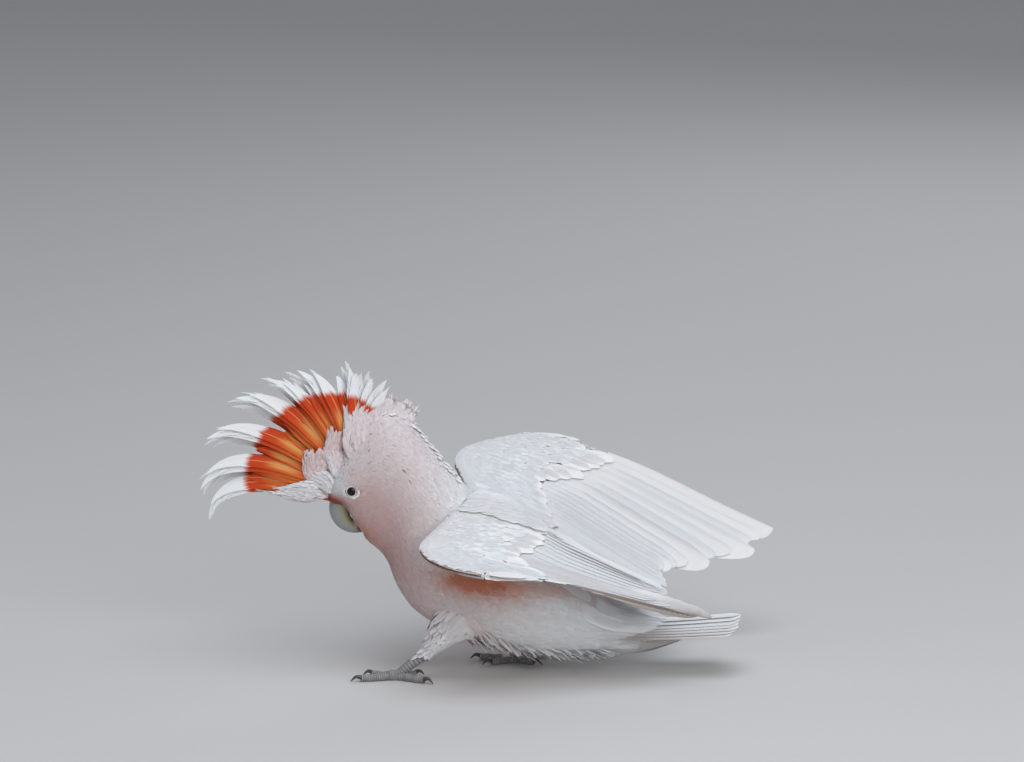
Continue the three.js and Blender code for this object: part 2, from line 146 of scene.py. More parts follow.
def make(name, points, faces, material, uvs=None, attributes=None, normals=None):
    """A mesh of quads or triangles, from points in millimetres.

    uvs: name -> (points, 2). attributes: name -> (points,) or (points, 3).
    """
    faces = np.ascontiguousarray(faces, np.int32)
    mesh = bpy.data.meshes.new(name)
    mesh.vertices.add(len(points))
    mesh.vertices.foreach_set("co", place(points).astype(np.float32).ravel())
    mesh.loops.add(faces.size)
    mesh.loops.foreach_set("vertex_index", faces.ravel())
    mesh.polygons.add(len(faces))
    mesh.polygons.foreach_set("loop_start", np.arange(0, faces.size, faces.shape[1], dtype=np.int32))
    mesh.update(calc_edges=True)
    mesh.polygons.foreach_set("use_smooth", np.ones(len(faces), bool))
    for layer, values in (uvs or {}).items():
        corners = np.asarray(values, np.float32)[faces.ravel()]
        mesh.uv_layers.new(name=layer).data.foreach_set("uv", corners.ravel())
    for label, values in (attributes or {}).items():
        values = np.asarray(values, np.float32)
        kind, field = ("FLOAT", "value") if values.ndim == 1 else ("FLOAT_VECTOR", "vector")
        mesh.attributes.new(label, kind, "POINT").data.foreach_set(field, values.ravel())
    if normals is not None:
        mesh.normals_split_custom_set_from_vertices(unit(normals))
    mesh.materials.append(material)
    piece = bpy.data.objects.new(name, mesh)
    bpy.context.scene.collection.objects.link(piece)
    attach(piece, "root")
    print(f"{name}: {len(faces) * (faces.shape[1] - 2)} triangles")
    return piece

# %% [markdown]
# ## The body's form
# A bird's body is one smooth egg that runs into the neck and head. It could be sculpted, or made of
# metaballs; here it is a stack of ovals, because two lines and a width say all of it: the line of
# the back, the line of the throat and belly, and half the width at each station. Angle 0 is the
# back, plus and minus half a turn is the keel.

# %% Body surface
# back x, z; belly x, z; half width; depth of the coat (all in mm)
BODY = np.array([
    [-113.4, 142.5, -112.6, 139.5, 1.5, 0.8],  # brow
    [-111.8, 148.5, -107.1, 135.3, 9.5, 1.0],
    [-108.7, 161.0, -97.6, 131.5, 15, 1.2],
    [-100.8, 178.0, -91.3, 120.8, 19, 1.5],  # eyes
    [-88.2, 195.0, -81.9, 107.1, 23, 2.2],
    [-69.5, 210.5, -70.9, 97.4, 27, 3.2],
    [-49.5, 204.5, -64.6, 87.8, 30, 4.0],  # throat
    [-34.0, 187.0, -60.6, 76.5, 33, 4.4],
    [-20.5, 169.5, -54.3, 63.6, 36, 4.6],
    [-6.0, 153.5, -42.5, 49.1, 39.5, 4.8],  # shoulders
    [11.8, 136.9, -19.7, 34.6, 41, 5.0],
    [39.4, 121.0, 13.4, 21.7, 41, 5.0],
    [66.9, 101.5, 47.2, 14.5, 38, 5.0],
    [92.9, 79.0, 78.7, 13.7, 31.5, 4.6],
    [113.0, 60.0, 108.7, 14.8, 24, 4.0],
    [139.0, 51.5, 140.0, 16.5, 15, 3.2],
    [171.0, 35.0, 172.0, 26.5, 2, 1.0],  # tip of the feathers under the tail
])
BACK_BREADTH = 0.1  # the body is this much wider over the back than at the keel


def coat_depth(t):
    """The depth of the feathers over the skin in mm, a spline through the table's last column."""
    return spline(BODY[:, 5], t)


def body_surface(t, angle, inset=0.0):
    """Centre of back and belly + (their half step) cos a + (half width) sin a (1 + 0.1 cos a)."""
    line = spline(BODY[:, :5], t)
    back, belly, half = line[..., 0:2], line[..., 2:4], line[..., 4]
    centre, up = (back + belly) / 2, (back - belly) / 2
    tall = np.linalg.norm(up, axis=-1)
    inset = np.minimum(inset, 0.6 * half)
    up = up * ((tall - inset) / tall)[..., None] * np.cos(angle)[..., None]
    side = (half - inset) * np.sin(angle) * (1 + BACK_BREADTH * np.cos(angle))
    xz = centre + up
    return np.stack([xz[..., 0], side + 0 * xz[..., 0], xz[..., 1]], -1)


def outward(surface, p, q, along=1e-3, across=1e-3):
    """The unit normal of a surface: its slope along p crossed with its slope along q."""
    dp = surface(p + along, q) - surface(p - along, q)
    dq = surface(p, q + across) - surface(p, q - across)
    return unit(np.cross(dp, dq))


flank_normal = outward(body_surface, np.array([0.6]), np.array([np.pi / 2]))
print("body normal on the right flank (should be +y):", flank_normal.round(2))

# %% [markdown]
# ## Limbs
# Thighs, shanks and toes are round tubes that taper along a line. The thighs are pressed flat against
# the belly at the hip, and each toe swells at its three pads. Two toes point forwards and two back, as
# on any parrot.

# %% Thighs, shanks and toes
UPRIGHT = np.array([0.0, 0.0, 1.0])
SIDEWAYS = np.array([0.0, 1.0, 0.0])


def limb_surface(points, radius):
    """Returns f(t, angle) = line(t) + radius(t) (up cos a + across sin a)."""

    def at(t, angle):
        along = unit(spline(points, t + 1e-3) - spline(points, t - 1e-3))
        across = unit(SIDEWAYS - along * axis_dot(SIDEWAYS, along))
        up = np.cross(along, across)
        ring = up * np.cos(angle)[..., None] + across * np.sin(angle)[..., None]
        return spline(points, t) + ring * radius(t)[..., None]

    return at


LEGS = {
    "left": {"side": LEFT, "hip": [-4, -20, 50], "knee": [-19, -27, 38], "ankle": [-35, -28, 20],
             "foot": [-58, -29]},
    "right": {"side": RIGHT, "hip": [34, 20, 48], "knee": [48, 26, 34], "ankle": [60, 27, 19.5],
              "foot": [36, 26]},
}
THIGH_TOP, THIGH_ANKLE = 25, 6.4
THIGH_PRESS, PRESSED_BEYOND = 0.45, 24  # the share that is pressed away, and from what |y| on
SHANK_TOP, SHANK_BOTTOM = 4.6, 3.7
TOES = {  # heading from straight ahead (degrees), length, radius, side of the foot
    "hallux": (148, 17, 2.9, -1),
    "inner": (24, 21, 3.0, -1),
    "long": (14, 29, 3.1, 1),
    "outer": (150, 25, 3.1, 1),
}


def thigh_surface(leg, inset=0.0):
    """The round thigh, pressed towards the body: what lies beyond |y| = 24 comes 45 % nearer at the hip."""
    line = np.array([leg["hip"], leg["knee"], leg["ankle"]])
    radius = lambda t: mix(THIGH_TOP, THIGH_ANKLE, np.clip(t * 1.04, 0, 1) ** 0.72) - inset
    whole = limb_surface(line, radius)

    def at(t, angle):
        points = whole(t, angle)
        beyond = np.maximum(leg["side"] * points[..., 1] - PRESSED_BEYOND, 0)
        press = THIGH_PRESS * (1 - smooth(0.15, 0.8, t))
        return points - SIDEWAYS * (leg["side"] * beyond * press)[..., None]

    return at


def shank_surface(leg, swell=0.0):
    """A tube from inside the thigh down to the foot, slimmest in its middle."""
    x, y, z = leg["ankle"]
    fx, fy = leg["foot"]
    line = np.array([[x + 3, y, z + 3], [x, y, z], [mix(x, fx, 0.55), mix(y, fy, 0.55), mix(z, 6, 0.6)],
                     [fx + 1, fy, 4.2], [fx - 5, fy, 3]])
    radius = lambda t: mix(SHANK_TOP, SHANK_BOTTOM, np.sin(np.pi * t)) + swell
    return limb_surface(line, radius)


def toe_line(leg, toe):
    """Four points straight out from the foot, and the toe's direction: (-cos, sin) of its heading."""
    heading, length, radius, hand = TOES[toe]
    out = hand * leg["side"]
    turn = np.radians(heading)
    ahead = np.array([-np.cos(turn), out * np.sin(turn), 0])
    start = np.array([*leg["foot"], 0.0])
    heights = radius * np.array([0.82, 0.95, 0.82, 0.95])
    points = start + ahead * length * np.linspace(0, 1, 4)[:, None]
    points[:, 2] = heights
    return points, ahead


def toe_surface(leg, toe, swell=0.0):
    """radius x (1 - 0.16 t) (1 + 0.09 sin 6 pi t): three pads, the last one slimmest."""
    points, _ = toe_line(leg, toe)
    radius = TOES[toe][2]
    pads = lambda t: radius * (1 - 0.16 * t) * (1 + 0.09 * np.sin(6 * np.pi * t)) + swell
    return limb_surface(points, pads)


print("toes of each foot:", ", ".join(f"{toe} {TOES[toe][1]} mm" for toe in TOES))

# %% [markdown]
# ## Wings, bare
# The wing is a curved sheet between its front edge and the tips of its feathers, so a place on it is
# two numbers: how far out from the body (p, 0 to 1) and how far back from the front edge (q, 0 to 1).
# The arm is thick and round in front and thins out under the coverts. The near wing droops half
# folded, and the far one is raised and spread.

# %% Wing sheet and arm
# from the body out to the hand, in mm: points of the front edge, points of the flight feathers' tips,
# and how far the sheet bows upwards at either end
WINGS = {
    "left": {
        "side": LEFT,
        "front": [[-4, -20, 140], [-14, -36, 136], [-27, -53, 128], [-40, -70, 118.5],
                  [-36, -84, 112], [-16, -97, 106], [14, -105, 102]],
        "tips": [[110, -12, 87], [146, -24, 75.5], [159, -35, 71.5], [152, -46, 71.5],
                 [160, -50, 66], [182, -44, 56.5], [196, -38, 50.5]],
        "bow": (13, 6),
    },
    "right": {
        "side": RIGHT,
        "front": [[0, 11, 136], [-4, 34, 140], [-9, 55, 145], [-14, 74, 152],
                  [-8, 93, 159], [14, 109, 163], [42, 121, 165]],
        "tips": [[126, 2, 74], [152, 30, 63], [160, 54, 56], [156, 76, 65],
                 [180, 92, 62], [229, 112, 69], [253, 130, 86]],
        "bow": (8, 13),
    },
}
COVERTS_REACH = (0.56, 0.46)  # share of the chord under small feathers, at the body and at the hand
ARM_THICK, HAND_THICK, EDGE_THICK = 13, 8, 1.5


def wing_sheet(wing):
    """f(q, p) = mix(front(p), tips(p), q) + a bow of 6.75 q (1 - q)² upwards, q back and p outwards."""

    def at(q, p):
        point = mix(spline(wing["front"], p), spline(wing["tips"], p), q[..., None])
        bow = mix(*wing["bow"], p) * 6.75 * q * (1 - q) ** 2
        return point + bow[..., None] * UPRIGHT

    return at


def wing_normal(wing, q, p):
    """The normal on the sheet's upper side, read over a broad step so that it turns gently."""
    return outward(wing_sheet(wing), q, p, 1e-3, 0.09) * wing["side"]


def arm_thickness(q, p):
    """Thick and round in front, thin at the back: 13 mm at the body, 8 mm at the hand."""
    chord = np.clip(q / mix(*COVERTS_REACH, p), 0, 1)
    round_nose = np.sqrt(smooth(-0.02, 0.09, chord))
    thick = mix(mix(ARM_THICK, HAND_THICK, p), EDGE_THICK, chord ** 0.7) * round_nose
    return np.where(q > mix(*COVERTS_REACH, p), EDGE_THICK, thick)


HAND_EDGE, EDGE_TURN = 0.965, 0.05  # where the hand's outer edge starts to turn round, and how soon


def wing_side(wing, face):
    """The upper (face = 1) or lower (face = -1) surface of the wing as f(q, p).

    Past p = HAND_EDGE it turns round the hand's edge: rise = r cos e, reach = r sin e, e = 0 to 90 degrees.
    """
    share = 0.45 if face > 0 else 0.55

    def at(q, p):
        thick = arm_thickness(np.clip(q, 0, 1), np.clip(p, 0, 1))
        turn = np.pi / 2 * np.clip((p - HAND_EDGE) / EDGE_TURN, 0, 1.3)
        held = np.minimum(p, HAND_EDGE)
        up = wing_normal(wing, q, held)
        ahead = unit(wing_sheet(wing)(q + 1e-3, held) - wing_sheet(wing)(q - 1e-3, held))
        out = np.cross(up, ahead) * wing["side"]
        rise, reach = np.cos(turn) * share * thick, np.sin(turn) * 0.5 * thick
        return wing_sheet(wing)(q, held) + up * (face * rise)[..., None] + out * reach[..., None]

    return at


for name, wing in WINGS.items():
    edge = wing_sheet(wing)(np.zeros(50), np.linspace(0, 1, 50))
    print(f"front edge of the {name} wing: {np.linalg.norm(np.diff(edge, axis=0), axis=1).sum():.0f} mm")

# %% [markdown]
# ## Markings
# The bird is white, washed with rose on the face and breast and with deeper salmon on the chin, the
# flanks and under the wings, and a red band lies over the bill. Skin and feathers must agree, so the
# markings are worked out once, from a place on the bird: each is a few soft round patches. They are
# kept with each point as three numbers, and the materials turn these into colours.

# %% Markings: rose, salmon and red, each 0 to 1
# each patch: centre x, |y|, z; radii x, y, z; strength
ROSE_PATCHES = [
    [-92, 14, 138, 26, 30, 30, 1.05],  # face
    [-108, 8, 152, 13, 18, 12, -0.9],  # the brow stays white
    [-72, 20, 105, 28, 30, 30, 0.85],  # cheek and throat
    [-48, 10, 72, 26, 34, 34, 0.60],  # neck and breast
    [-22, 10, 50, 34, 34, 24, 0.42],  # lower breast
    [-70, 10, 195, 34, 30, 30, 0.42],  # crown
    [-52, 22, 150, 27, 40, 40, 0.52],  # side of the neck
    [30, 0, 118, 46, 26, 30, 0.16],  # between the wings
]
SALMON_PATCHES = [
    [-88, 8, 119, 12, 16, 12, 0.50],  # chin
    [-78, 10, 104, 16, 20, 14, 0.30],  # throat
    [-18, 42, 93, 22, 26, 11, 0.85],  # where the wing meets the breast
    [8, 42, 87, 26, 26, 11, 0.72],  # under the wing
    [54, 36, 80, 40, 26, 7, 0.45],  # under the flight feathers
    [4, 42, 76, 34, 26, 20, 0.28],  # flank
]
RED_PATCHES = [[-108, 5, 139.5, 9, 10, 5.5, 1.5]]  # band over the bill


def patches(points, table):
    """The sum of strength x exp(-d²), where d is the distance to a centre in that patch's radii."""
    table = np.array(table, float)
    folded = np.stack([points[:, 0], np.abs(points[:, 1]), points[:, 2]], -1)
    d = (folded[:, None] - table[:, 0:3]) / table[:, 3:6]
    return (table[:, 6] * np.exp(-(d ** 2).sum(-1))).sum(-1)


def markings(points):
    """(rose, salmon, red) at places given in millimetres."""
    columns = [patches(points, table) for table in (ROSE_PATCHES, SALMON_PATCHES, RED_PATCHES)]
    return np.clip(np.stack(columns, -1), 0, 1)


print("markings on the cheek:", markings(np.array([[-80.0, 24, 115]])).round(2))

# %% [markdown]
# ## Shader groups
# Feathers and skin share two effects, the plumage colour and the barbs, so each is a node group. A
# group gives out only colours and values; the shader that uses them stays in each material. Trees of
# nodes are long to write out, so a small class does the joining.

# %% Node group helpers


class Graph:
    """A small way to write node trees: add a node, set its values, and join sockets by name."""

    def __init__(self, tree):
        """Keeps the tree that it adds to."""
        self.tree = tree

    def node(self, kind, values=None, **settings):
        """A new node. A value that is a socket is linked; any other is set as the input's own."""
        made = self.tree.nodes.new(kind)
        for key, value in settings.items():
            setattr(made, key, value)
        for key, value in (values or {}).items():
            if isinstance(value, bpy.types.NodeSocket):
                self.tree.links.new(value, made.inputs[key])
            else:
                made.inputs[key].default_value = value
        return made

    def math(self, operation, *values):
        """One step of arithmetic on values or sockets."""
        return self.node("ShaderNodeMath", dict(enumerate(values)), operation=operation).outputs[0]

    def mix(self, amount, a, b, blend="MIX"):
        """Colour a goes over to colour b by amount, or is multiplied by it."""
        values = {0: amount, 6: a, 7: b}
        return self.node("ShaderNodeMix", values, data_type="RGBA", blend_type=blend).outputs[2]

    def ramp(self, value, low, high, to_low=0.0, to_high=1.0):
        """The smooth step of a value: to_low up to low, to_high from high on."""
        values = {0: value, 1: low, 2: high, 3: to_low, 4: to_high}
        return self.node("ShaderNodeMapRange", values, interpolation_type="SMOOTHSTEP").outputs[0]

    def texture(self, kind, where, scale, output=0, **more):
        """A Noise or Voronoi texture, read at a place."""
        return self.node(f"ShaderNodeTex{kind}", {"Vector": where, "Scale": scale, **more}).outputs[output]

    def place(self):
        """Object coordinates, in metres."""
        return self.node("ShaderNodeTexCoord").outputs["Object"]

    def map(self, name):
        """The x and y of one of the piece's own maps, and both as one vector."""
        both = self.node("ShaderNodeUVMap", uv_map=name).outputs[0]
        parts = self.split(both)
        return parts[0], parts[1], both

    def split(self, vector):
        """The three parts of a vector."""
        return self.node("ShaderNodeSeparateXYZ", {0: vector}).outputs

    def vector(self, x, y=0.0, z=0.0):
        """One vector from three values."""
        return self.node("ShaderNodeCombineXYZ", {0: x, 1: y, 2: z}).outputs[0]

    def scaled(self, colour, level):
        """A colour times a value."""
        return self.mix(1.0, colour, self.vector(level, level, level), "MULTIPLY")

    def link(self, value, to):
        """Joins an output to an input."""
        self.tree.links.new(value, to)


def rgb(*values):
    """A solid colour."""
    return (*values, 1.0)


def new_group(name, inputs, outputs):
    """An empty group with its sockets. Returns its graph, its inputs' values and where its outputs go."""
    tree = bpy.data.node_groups.new(name, "ShaderNodeTree")
    for label, kind, value in inputs:
        socket = tree.interface.new_socket(name=label, in_out="INPUT", socket_type=kind)
        if value is not None:
            socket.default_value = value
    for label, kind in outputs:
        tree.interface.new_socket(name=label, in_out="OUTPUT", socket_type=kind)
    graph = Graph(tree)
    return graph, graph.node("NodeGroupInput").outputs, graph.node("NodeGroupOutput").inputs


FLOAT, COLOUR, VECTOR = "NodeSocketFloat", "NodeSocketColor", "NodeSocketVector"
print("nodes are added by:", ", ".join(name for name in vars(Graph) if not name.startswith("_")))

# %% [markdown]
# ## Colours of the plumage
# The bird is white. Rose is washed over it, then salmon, then red, each as strongly as the markings
# say, and painted shade turns edges and undersides that lie in shadow towards a dark tan. No two feathers are
# quite the same, so each is a little lighter or darker by its own random number.

# %% The plumage colour group
WHITE = rgb(0.84, 0.82, 0.825)
ROSE = rgb(0.74, 0.495, 0.48)
SALMON = rgb(0.68, 0.24, 0.14)
RED = rgb(0.42, 0.085, 0.06)
SHADE_TAN = rgb(0.40, 0.33, 0.28)  # painted shade: the dark tan of feather edges and undersides that lie in shadow


def plumage_group():
    """White, washed by each marking in turn and then by painted shade in dark tan, then a little darker or
    lighter from feather to feather.
    """
    graph, given, out = new_group(
        "plumage_colour",
        [("Markings", VECTOR, None), ("Painted shade", FLOAT, 0.0), ("Tint", FLOAT, 0.5), ("Variation", FLOAT, 0.06)],
        [("Color", COLOUR)],
    )
    colour = WHITE
    for amount, wash in zip([*graph.split(given["Markings"]), given["Painted shade"]], [ROSE, SALMON, RED, SHADE_TAN]):
        colour = graph.mix(amount, colour, wash)
    swing = graph.math("MULTIPLY", graph.math("SUBTRACT", given["Tint"], 0.5), given["Variation"])
    graph.link(graph.scaled(colour, graph.math("ADD", 1.0, swing)), out["Color"])
    return graph.tree


PLUMAGE = plumage_group()
print("node group:", PLUMAGE.name)

# %% [markdown]
# ## Barbs
# From a feather's shaft fine barbs run slanting to its edge. They are too fine to model, so they are a
# height for bump: a wave along the slant, broken up by noise. The group also masks the shaft itself.

# %% The barbs group
BARB_SLANT = 0.9  # how far a barb runs towards the tip as it crosses half the vane


def off_shaft(graph, across):
    """2 |across - 0.5|: 0 on the shaft, 1 at either edge."""
    return graph.math("MULTIPLY", graph.math("ABSOLUTE", graph.math("SUBTRACT", across, 0.5)), 2.0)


def barbs_group():
    """Ridges where (along - slant x |across|) x count passes whole numbers, broken up by noise."""
    graph, given, out = new_group(
        "feather_barbs",
        [("Vane", VECTOR, None), ("Tint", FLOAT, 0.5), ("Count", FLOAT, 40.0), ("Shaft", FLOAT, 0.04)],
        [("Height", FLOAT), ("Shaft", FLOAT)],
    )
    across, along, _ = graph.split(given["Vane"])
    side = off_shaft(graph, across)
    slanted = graph.math("SUBTRACT", along, graph.math("MULTIPLY", side, 0.5 * BARB_SLANT))
    shifted = graph.math("ADD", slanted, graph.math("MULTIPLY", given["Tint"], 7.3))
    phase = graph.math("MULTIPLY", shifted, given["Count"])
    wave = graph.math("SINE", graph.math("MULTIPLY", phase, 6.2832))
    where = graph.vector(phase, graph.math("MULTIPLY", given["Tint"], 91.0))
    noise = graph.texture("Noise", where, 0.45, Detail=2.0)
    graph.link(graph.math("ADD", graph.math("MULTIPLY", wave, 0.35), noise), out["Height"])
    graph.link(graph.ramp(side, 0.0, given["Shaft"], 1.0, 0.0), out["Shaft"])
    return graph.tree


BARBS = barbs_group()
print("node group:", BARBS.name)

# %% [markdown]
# ## Materials and their shader
# Every piece has one Principled shader. Values that are the same all over a piece go straight on the
# shader's sockets; colour and bump are joined to it as links. Bump is small beside the feathers: its
# distance is less than half a millimetre.

# %% A material with its shader


def new_material(name, **uniform):
    """A Principled material whose even values are set on its own sockets. Returns graph and shader."""
    material = bpy.data.materials.new(name)
    material.use_nodes = True
    graph = Graph(material.node_tree)
    shader = material.node_tree.nodes["Principled BSDF"]
    for label, value in uniform.items():
        shader.inputs[label.replace("_", " ").title().replace("Ior", "IOR")].default_value = value
    return material, graph, shader


def attribute(graph, name, output="Fac"):
    """A value kept with each point of the mesh."""
    return graph.node("ShaderNodeAttribute", attribute_name=name).outputs[output]


def finish(graph, shader, colour, height, strength, distance):
    """Joins the colour and the bump to the shader."""
    raised = graph.node("ShaderNodeBump", {"Height": height, "Strength": strength, "Distance": distance})
    graph.link(colour, shader.inputs["Base Color"])
    graph.link(raised.outputs["Normal"], shader.inputs["Normal"])


print("shader ready; widest bump 0.5 mm")

# %% [markdown]
# ## The plumage material
# Feathers are matt and let a little light through, so they look soft. Light inside them is stood in
# for by a little subsurface scattering. The barbs are bump, and each vane has painted shade: a touch
# darker where the next one covers it, lighter towards its tip.

# %% Plumage materials


def plumage_material(name, count, strength, variation=0.08, shade=0.06):
    """Plumage colour x (1 - painted shade at the root, 1 at the tip) x (0.95 + 0.1 barb height)."""
    material, graph, shader = new_material(name, roughness=0.75, specular_ior_level=0.25,
                                           subsurface_weight=0.25, subsurface_scale=0.004)
    shader.inputs["Subsurface Radius"].default_value = (1.0, 0.55, 0.45)
    tint = attribute(graph, "tint")
    _, along, vane = graph.map("vane")
    # painted shade reaches the colour as its own wash, from a value kept with each point
    washes = {"Markings": attribute(graph, "marks", "Vector"), "Painted shade": attribute(graph, "dusk"), "Tint": tint,
              "Variation": variation}
    colour = graph.node("ShaderNodeGroup", washes, node_tree=PLUMAGE).outputs[0]
    height = graph.node("ShaderNodeGroup", {"Vane": vane, "Tint": tint, "Count": count},
                        node_tree=BARBS).outputs["Height"]
    root_shade = graph.ramp(along, 0.35, 0.95, 1.0 - shade, 1.0)
    level = graph.math("MULTIPLY", root_shade, graph.math("MULTIPLY_ADD", height, 0.10, 0.95))
    finish(graph, shader, graph.scaled(colour, level), height, strength, 0.0004)
    return material


BODY_FEATHER = plumage_material("body_feather", 16.0, 0.35)
FACE_FEATHER = plumage_material("face_feather", 6.0, 0.3, variation=0.13, shade=0.10)
COVERT_FEATHER = plumage_material("covert_feather", 26.0, 0.35, variation=0.03, shade=0.03)
FLIGHT_FEATHER = plumage_material("flight_feather", 90.0, 0.4, variation=0.04, shade=0.02)


def skin_material():
    """Skin has the same markings as the coat, a little darker, with the pits that feathers grow from."""
    material, graph, shader = new_material("skin", roughness=0.7, specular_ior_level=0.3,
                                           subsurface_weight=0.3, subsurface_scale=0.004)
    marks = attribute(graph, "marks", "Vector")
    colour = graph.node("ShaderNodeGroup", {"Markings": marks}, node_tree=PLUMAGE).outputs[0]
    pits = graph.texture("Voronoi", graph.place(), 700.0, "Distance")
    finish(graph, shader, graph.mix(1.0, colour, rgb(0.80, 0.76, 0.75), "MULTIPLY"), pits, 0.4, 0.0005)
    return material


SKIN = skin_material()
print("plumage materials:", ", ".join(material.name for material in bpy.data.materials))

# %% [markdown]
# ## One skin
# Under the feathers is one skin without seams. Body, wing arms, thighs, shanks and toes are made as
# closed tubes that run into each other, a coat's depth inside the solid model. A voxel remesh then
# melts them into one surface, which a boolean union would do with harder creases.

# %% Closed tubes


def closed_tube(points):
    """Corners and triangles of a rows x cols x 3 tube, with a fan to the middle of each end ring.

    The faces are turned over where the volume, the sum of a . (b x c) / 6 over all triangles, is negative.
    """
    rows, cols = points.shape[:2]
    quads = grid_faces(rows, cols, wrap=True)
    sides = np.concatenate([quads[:, [0, 1, 2]], quads[:, [0, 2, 3]]])
    ends = rows * cols + np.arange(2)
    ring = np.arange(cols)
    after = (ring + 1) % cols
    first = np.stack([np.full(cols, ends[0]), after, ring], -1)
    last = np.stack([np.full(cols, ends[1]), ring + (rows - 1) * cols, after + (rows - 1) * cols], -1)
    corners = np.concatenate([points.reshape(-1, 3), points[[0, -1]].mean(1)])
    faces = np.concatenate([sides, first, last])
    a, b, c = (corners[faces[:, k]] for k in range(3))
    return corners, faces if np.sum(a * np.cross(b, c)) > 0 else faces[:, ::-1]


def parameter_grid(first, second):
    """Every pair of the two lists, as two arrays of rows by columns."""
    return np.meshgrid(first, second, indexing="ij")


def ring_angles(count):
    """Even steps once round, without the last, which is the first again."""
    return np.arange(count) * 2 * np.pi / count


def joined(tubes):
    """Corners and faces of many tubes as one list each, with the faces numbered on."""
    corners, faces = zip(*tubes)
    starts = np.cumsum([0] + [len(part) for part in corners])
    return np.concatenate(corners), np.concatenate([part + start for part, start in zip(faces, starts)])


print("a ring of 12 points starts with the angles", ring_angles(12)[:3].round(2))

# %% [markdown]
# ## The tubes of the skin
# The wing arm's rings go back over the top and forward again under it. Between the two wing roots the
# back would be left hollow, so a saddle fills it. Everything is drawn in by the depth of its coat.

# %% Skin
ARM_INSET = 1.6  # the coat's depth over the wing arm


def arm_tube(wing):
    """Each ring goes back over the top of the arm and forward again under it."""
    turn = ring_angles(40)
    p, angle = parameter_grid(np.linspace(0.01, 0.985, 60), turn)
    chord = 0.5 - 0.5 * np.cos(angle)
    q = (0.015 + 0.72 * chord) * mix(*COVERTS_REACH, p)
    thick = np.maximum(arm_thickness(q, p) - 2 * ARM_INSET, 0.7)
    rise = np.where(np.sin(angle) >= 0, 0.45, -0.55) * thick * np.abs(np.sin(angle)) ** 0.5
    return wing_sheet(wing)(q, p) + wing_normal(wing, q, p) * rise[..., None]


def saddle_tube():
    """Fills the hollow between the two wing roots and the back."""
    q, angle = parameter_grid(np.linspace(0.02, 0.74, 40), ring_angles(40))
    roots = [wing_side(WINGS[name], 1)(q, 0.03 + 0 * q) for name in WINGS]
    middle, half = (roots[0] + roots[1]) / 2, (roots[1] - roots[0]) / 2
    return middle + half * np.cos(angle)[..., None] + UPRIGHT * (5 * np.sin(angle) - 6.5)[..., None]


def skin_tubes():
    """Trunk, saddle, wing arms, thighs, shanks and toes, one tube after another."""
    t, angle = parameter_grid(np.linspace(0.004, 0.995, 200), ring_angles(96))
    yield body_surface(t, angle, coat_depth(t))
    yield saddle_tube()
    for name, leg in LEGS.items():
        yield arm_tube(WINGS[name])
        grid = parameter_grid(np.linspace(0, 1, 60), ring_angles(48))
        yield thigh_surface(leg, 2.6)(*grid)
        yield shank_surface(leg, -0.7)(*grid)
        for toe in TOES:
            yield toe_surface(leg, toe, -0.7)(*grid)


SKIN_VOXEL = 0.0013


def remeshed(name, corners, faces, voxel):
    """The corners and triangles as one closed skin of even quads, returned as arrays in millimetres."""
    mesh = bpy.data.meshes.new(name)
    mesh.from_pydata(place(corners).tolist(), [], faces.tolist())
    source = bpy.data.objects.new(name, mesh)
    bpy.context.scene.collection.objects.link(source)
    melt = source.modifiers.new("melt", "REMESH")
    melt.mode, melt.voxel_size = "VOXEL", voxel
    relax = source.modifiers.new("relax", "SMOOTH")
    relax.factor, relax.iterations = 0.5, 3
    ready = source.evaluated_get(bpy.context.evaluated_depsgraph_get()).to_mesh()
    points = np.empty(len(ready.vertices) * 3, np.float32)
    ready.vertices.foreach_get("co", points)
    quads = np.empty(len(ready.loops), np.int32)
    ready.loops.foreach_get("vertex_index", quads)
    bpy.data.objects.remove(source)
    bpy.data.meshes.remove(mesh)
    return (points.reshape(-1, 3) - STEP) * 1000, quads.reshape(-1, 4)


corners, faces = joined([closed_tube(tube) for tube in skin_tubes()])
skin_points, skin_faces = remeshed("skin_source", corners, faces, SKIN_VOXEL)
skin = make("skin", skin_points, skin_faces, SKIN,
            attributes={"marks": markings(skin_points), "tint": np.full(len(skin_points), 0.5)})
flesh = ["head", "neck", "trunk"]
for side in WINGS:
    flesh += [f"wing_{side}_coverts", f"thigh_{side}", f"shank_{side}"]
    flesh += [f"toe_{side}_{toe}" for toe in TOES]
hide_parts(*flesh)

# %% [markdown]
# ## Where feathers grow
# Feathers grow in rows, each second row half a step on, so that every feather covers the gap between
# two others. The rows come closer where the feathers are smaller. Both steps are measured in
# millimetres on the form, and then each root is moved a little at random, from a fixed seed.

# %% Rows of roots
RING_STEPS = 64


def noise01(*shape, seed):
    """Random numbers from 0 to 1, the same at each run."""
    return np.random.default_rng(seed).random(shape)


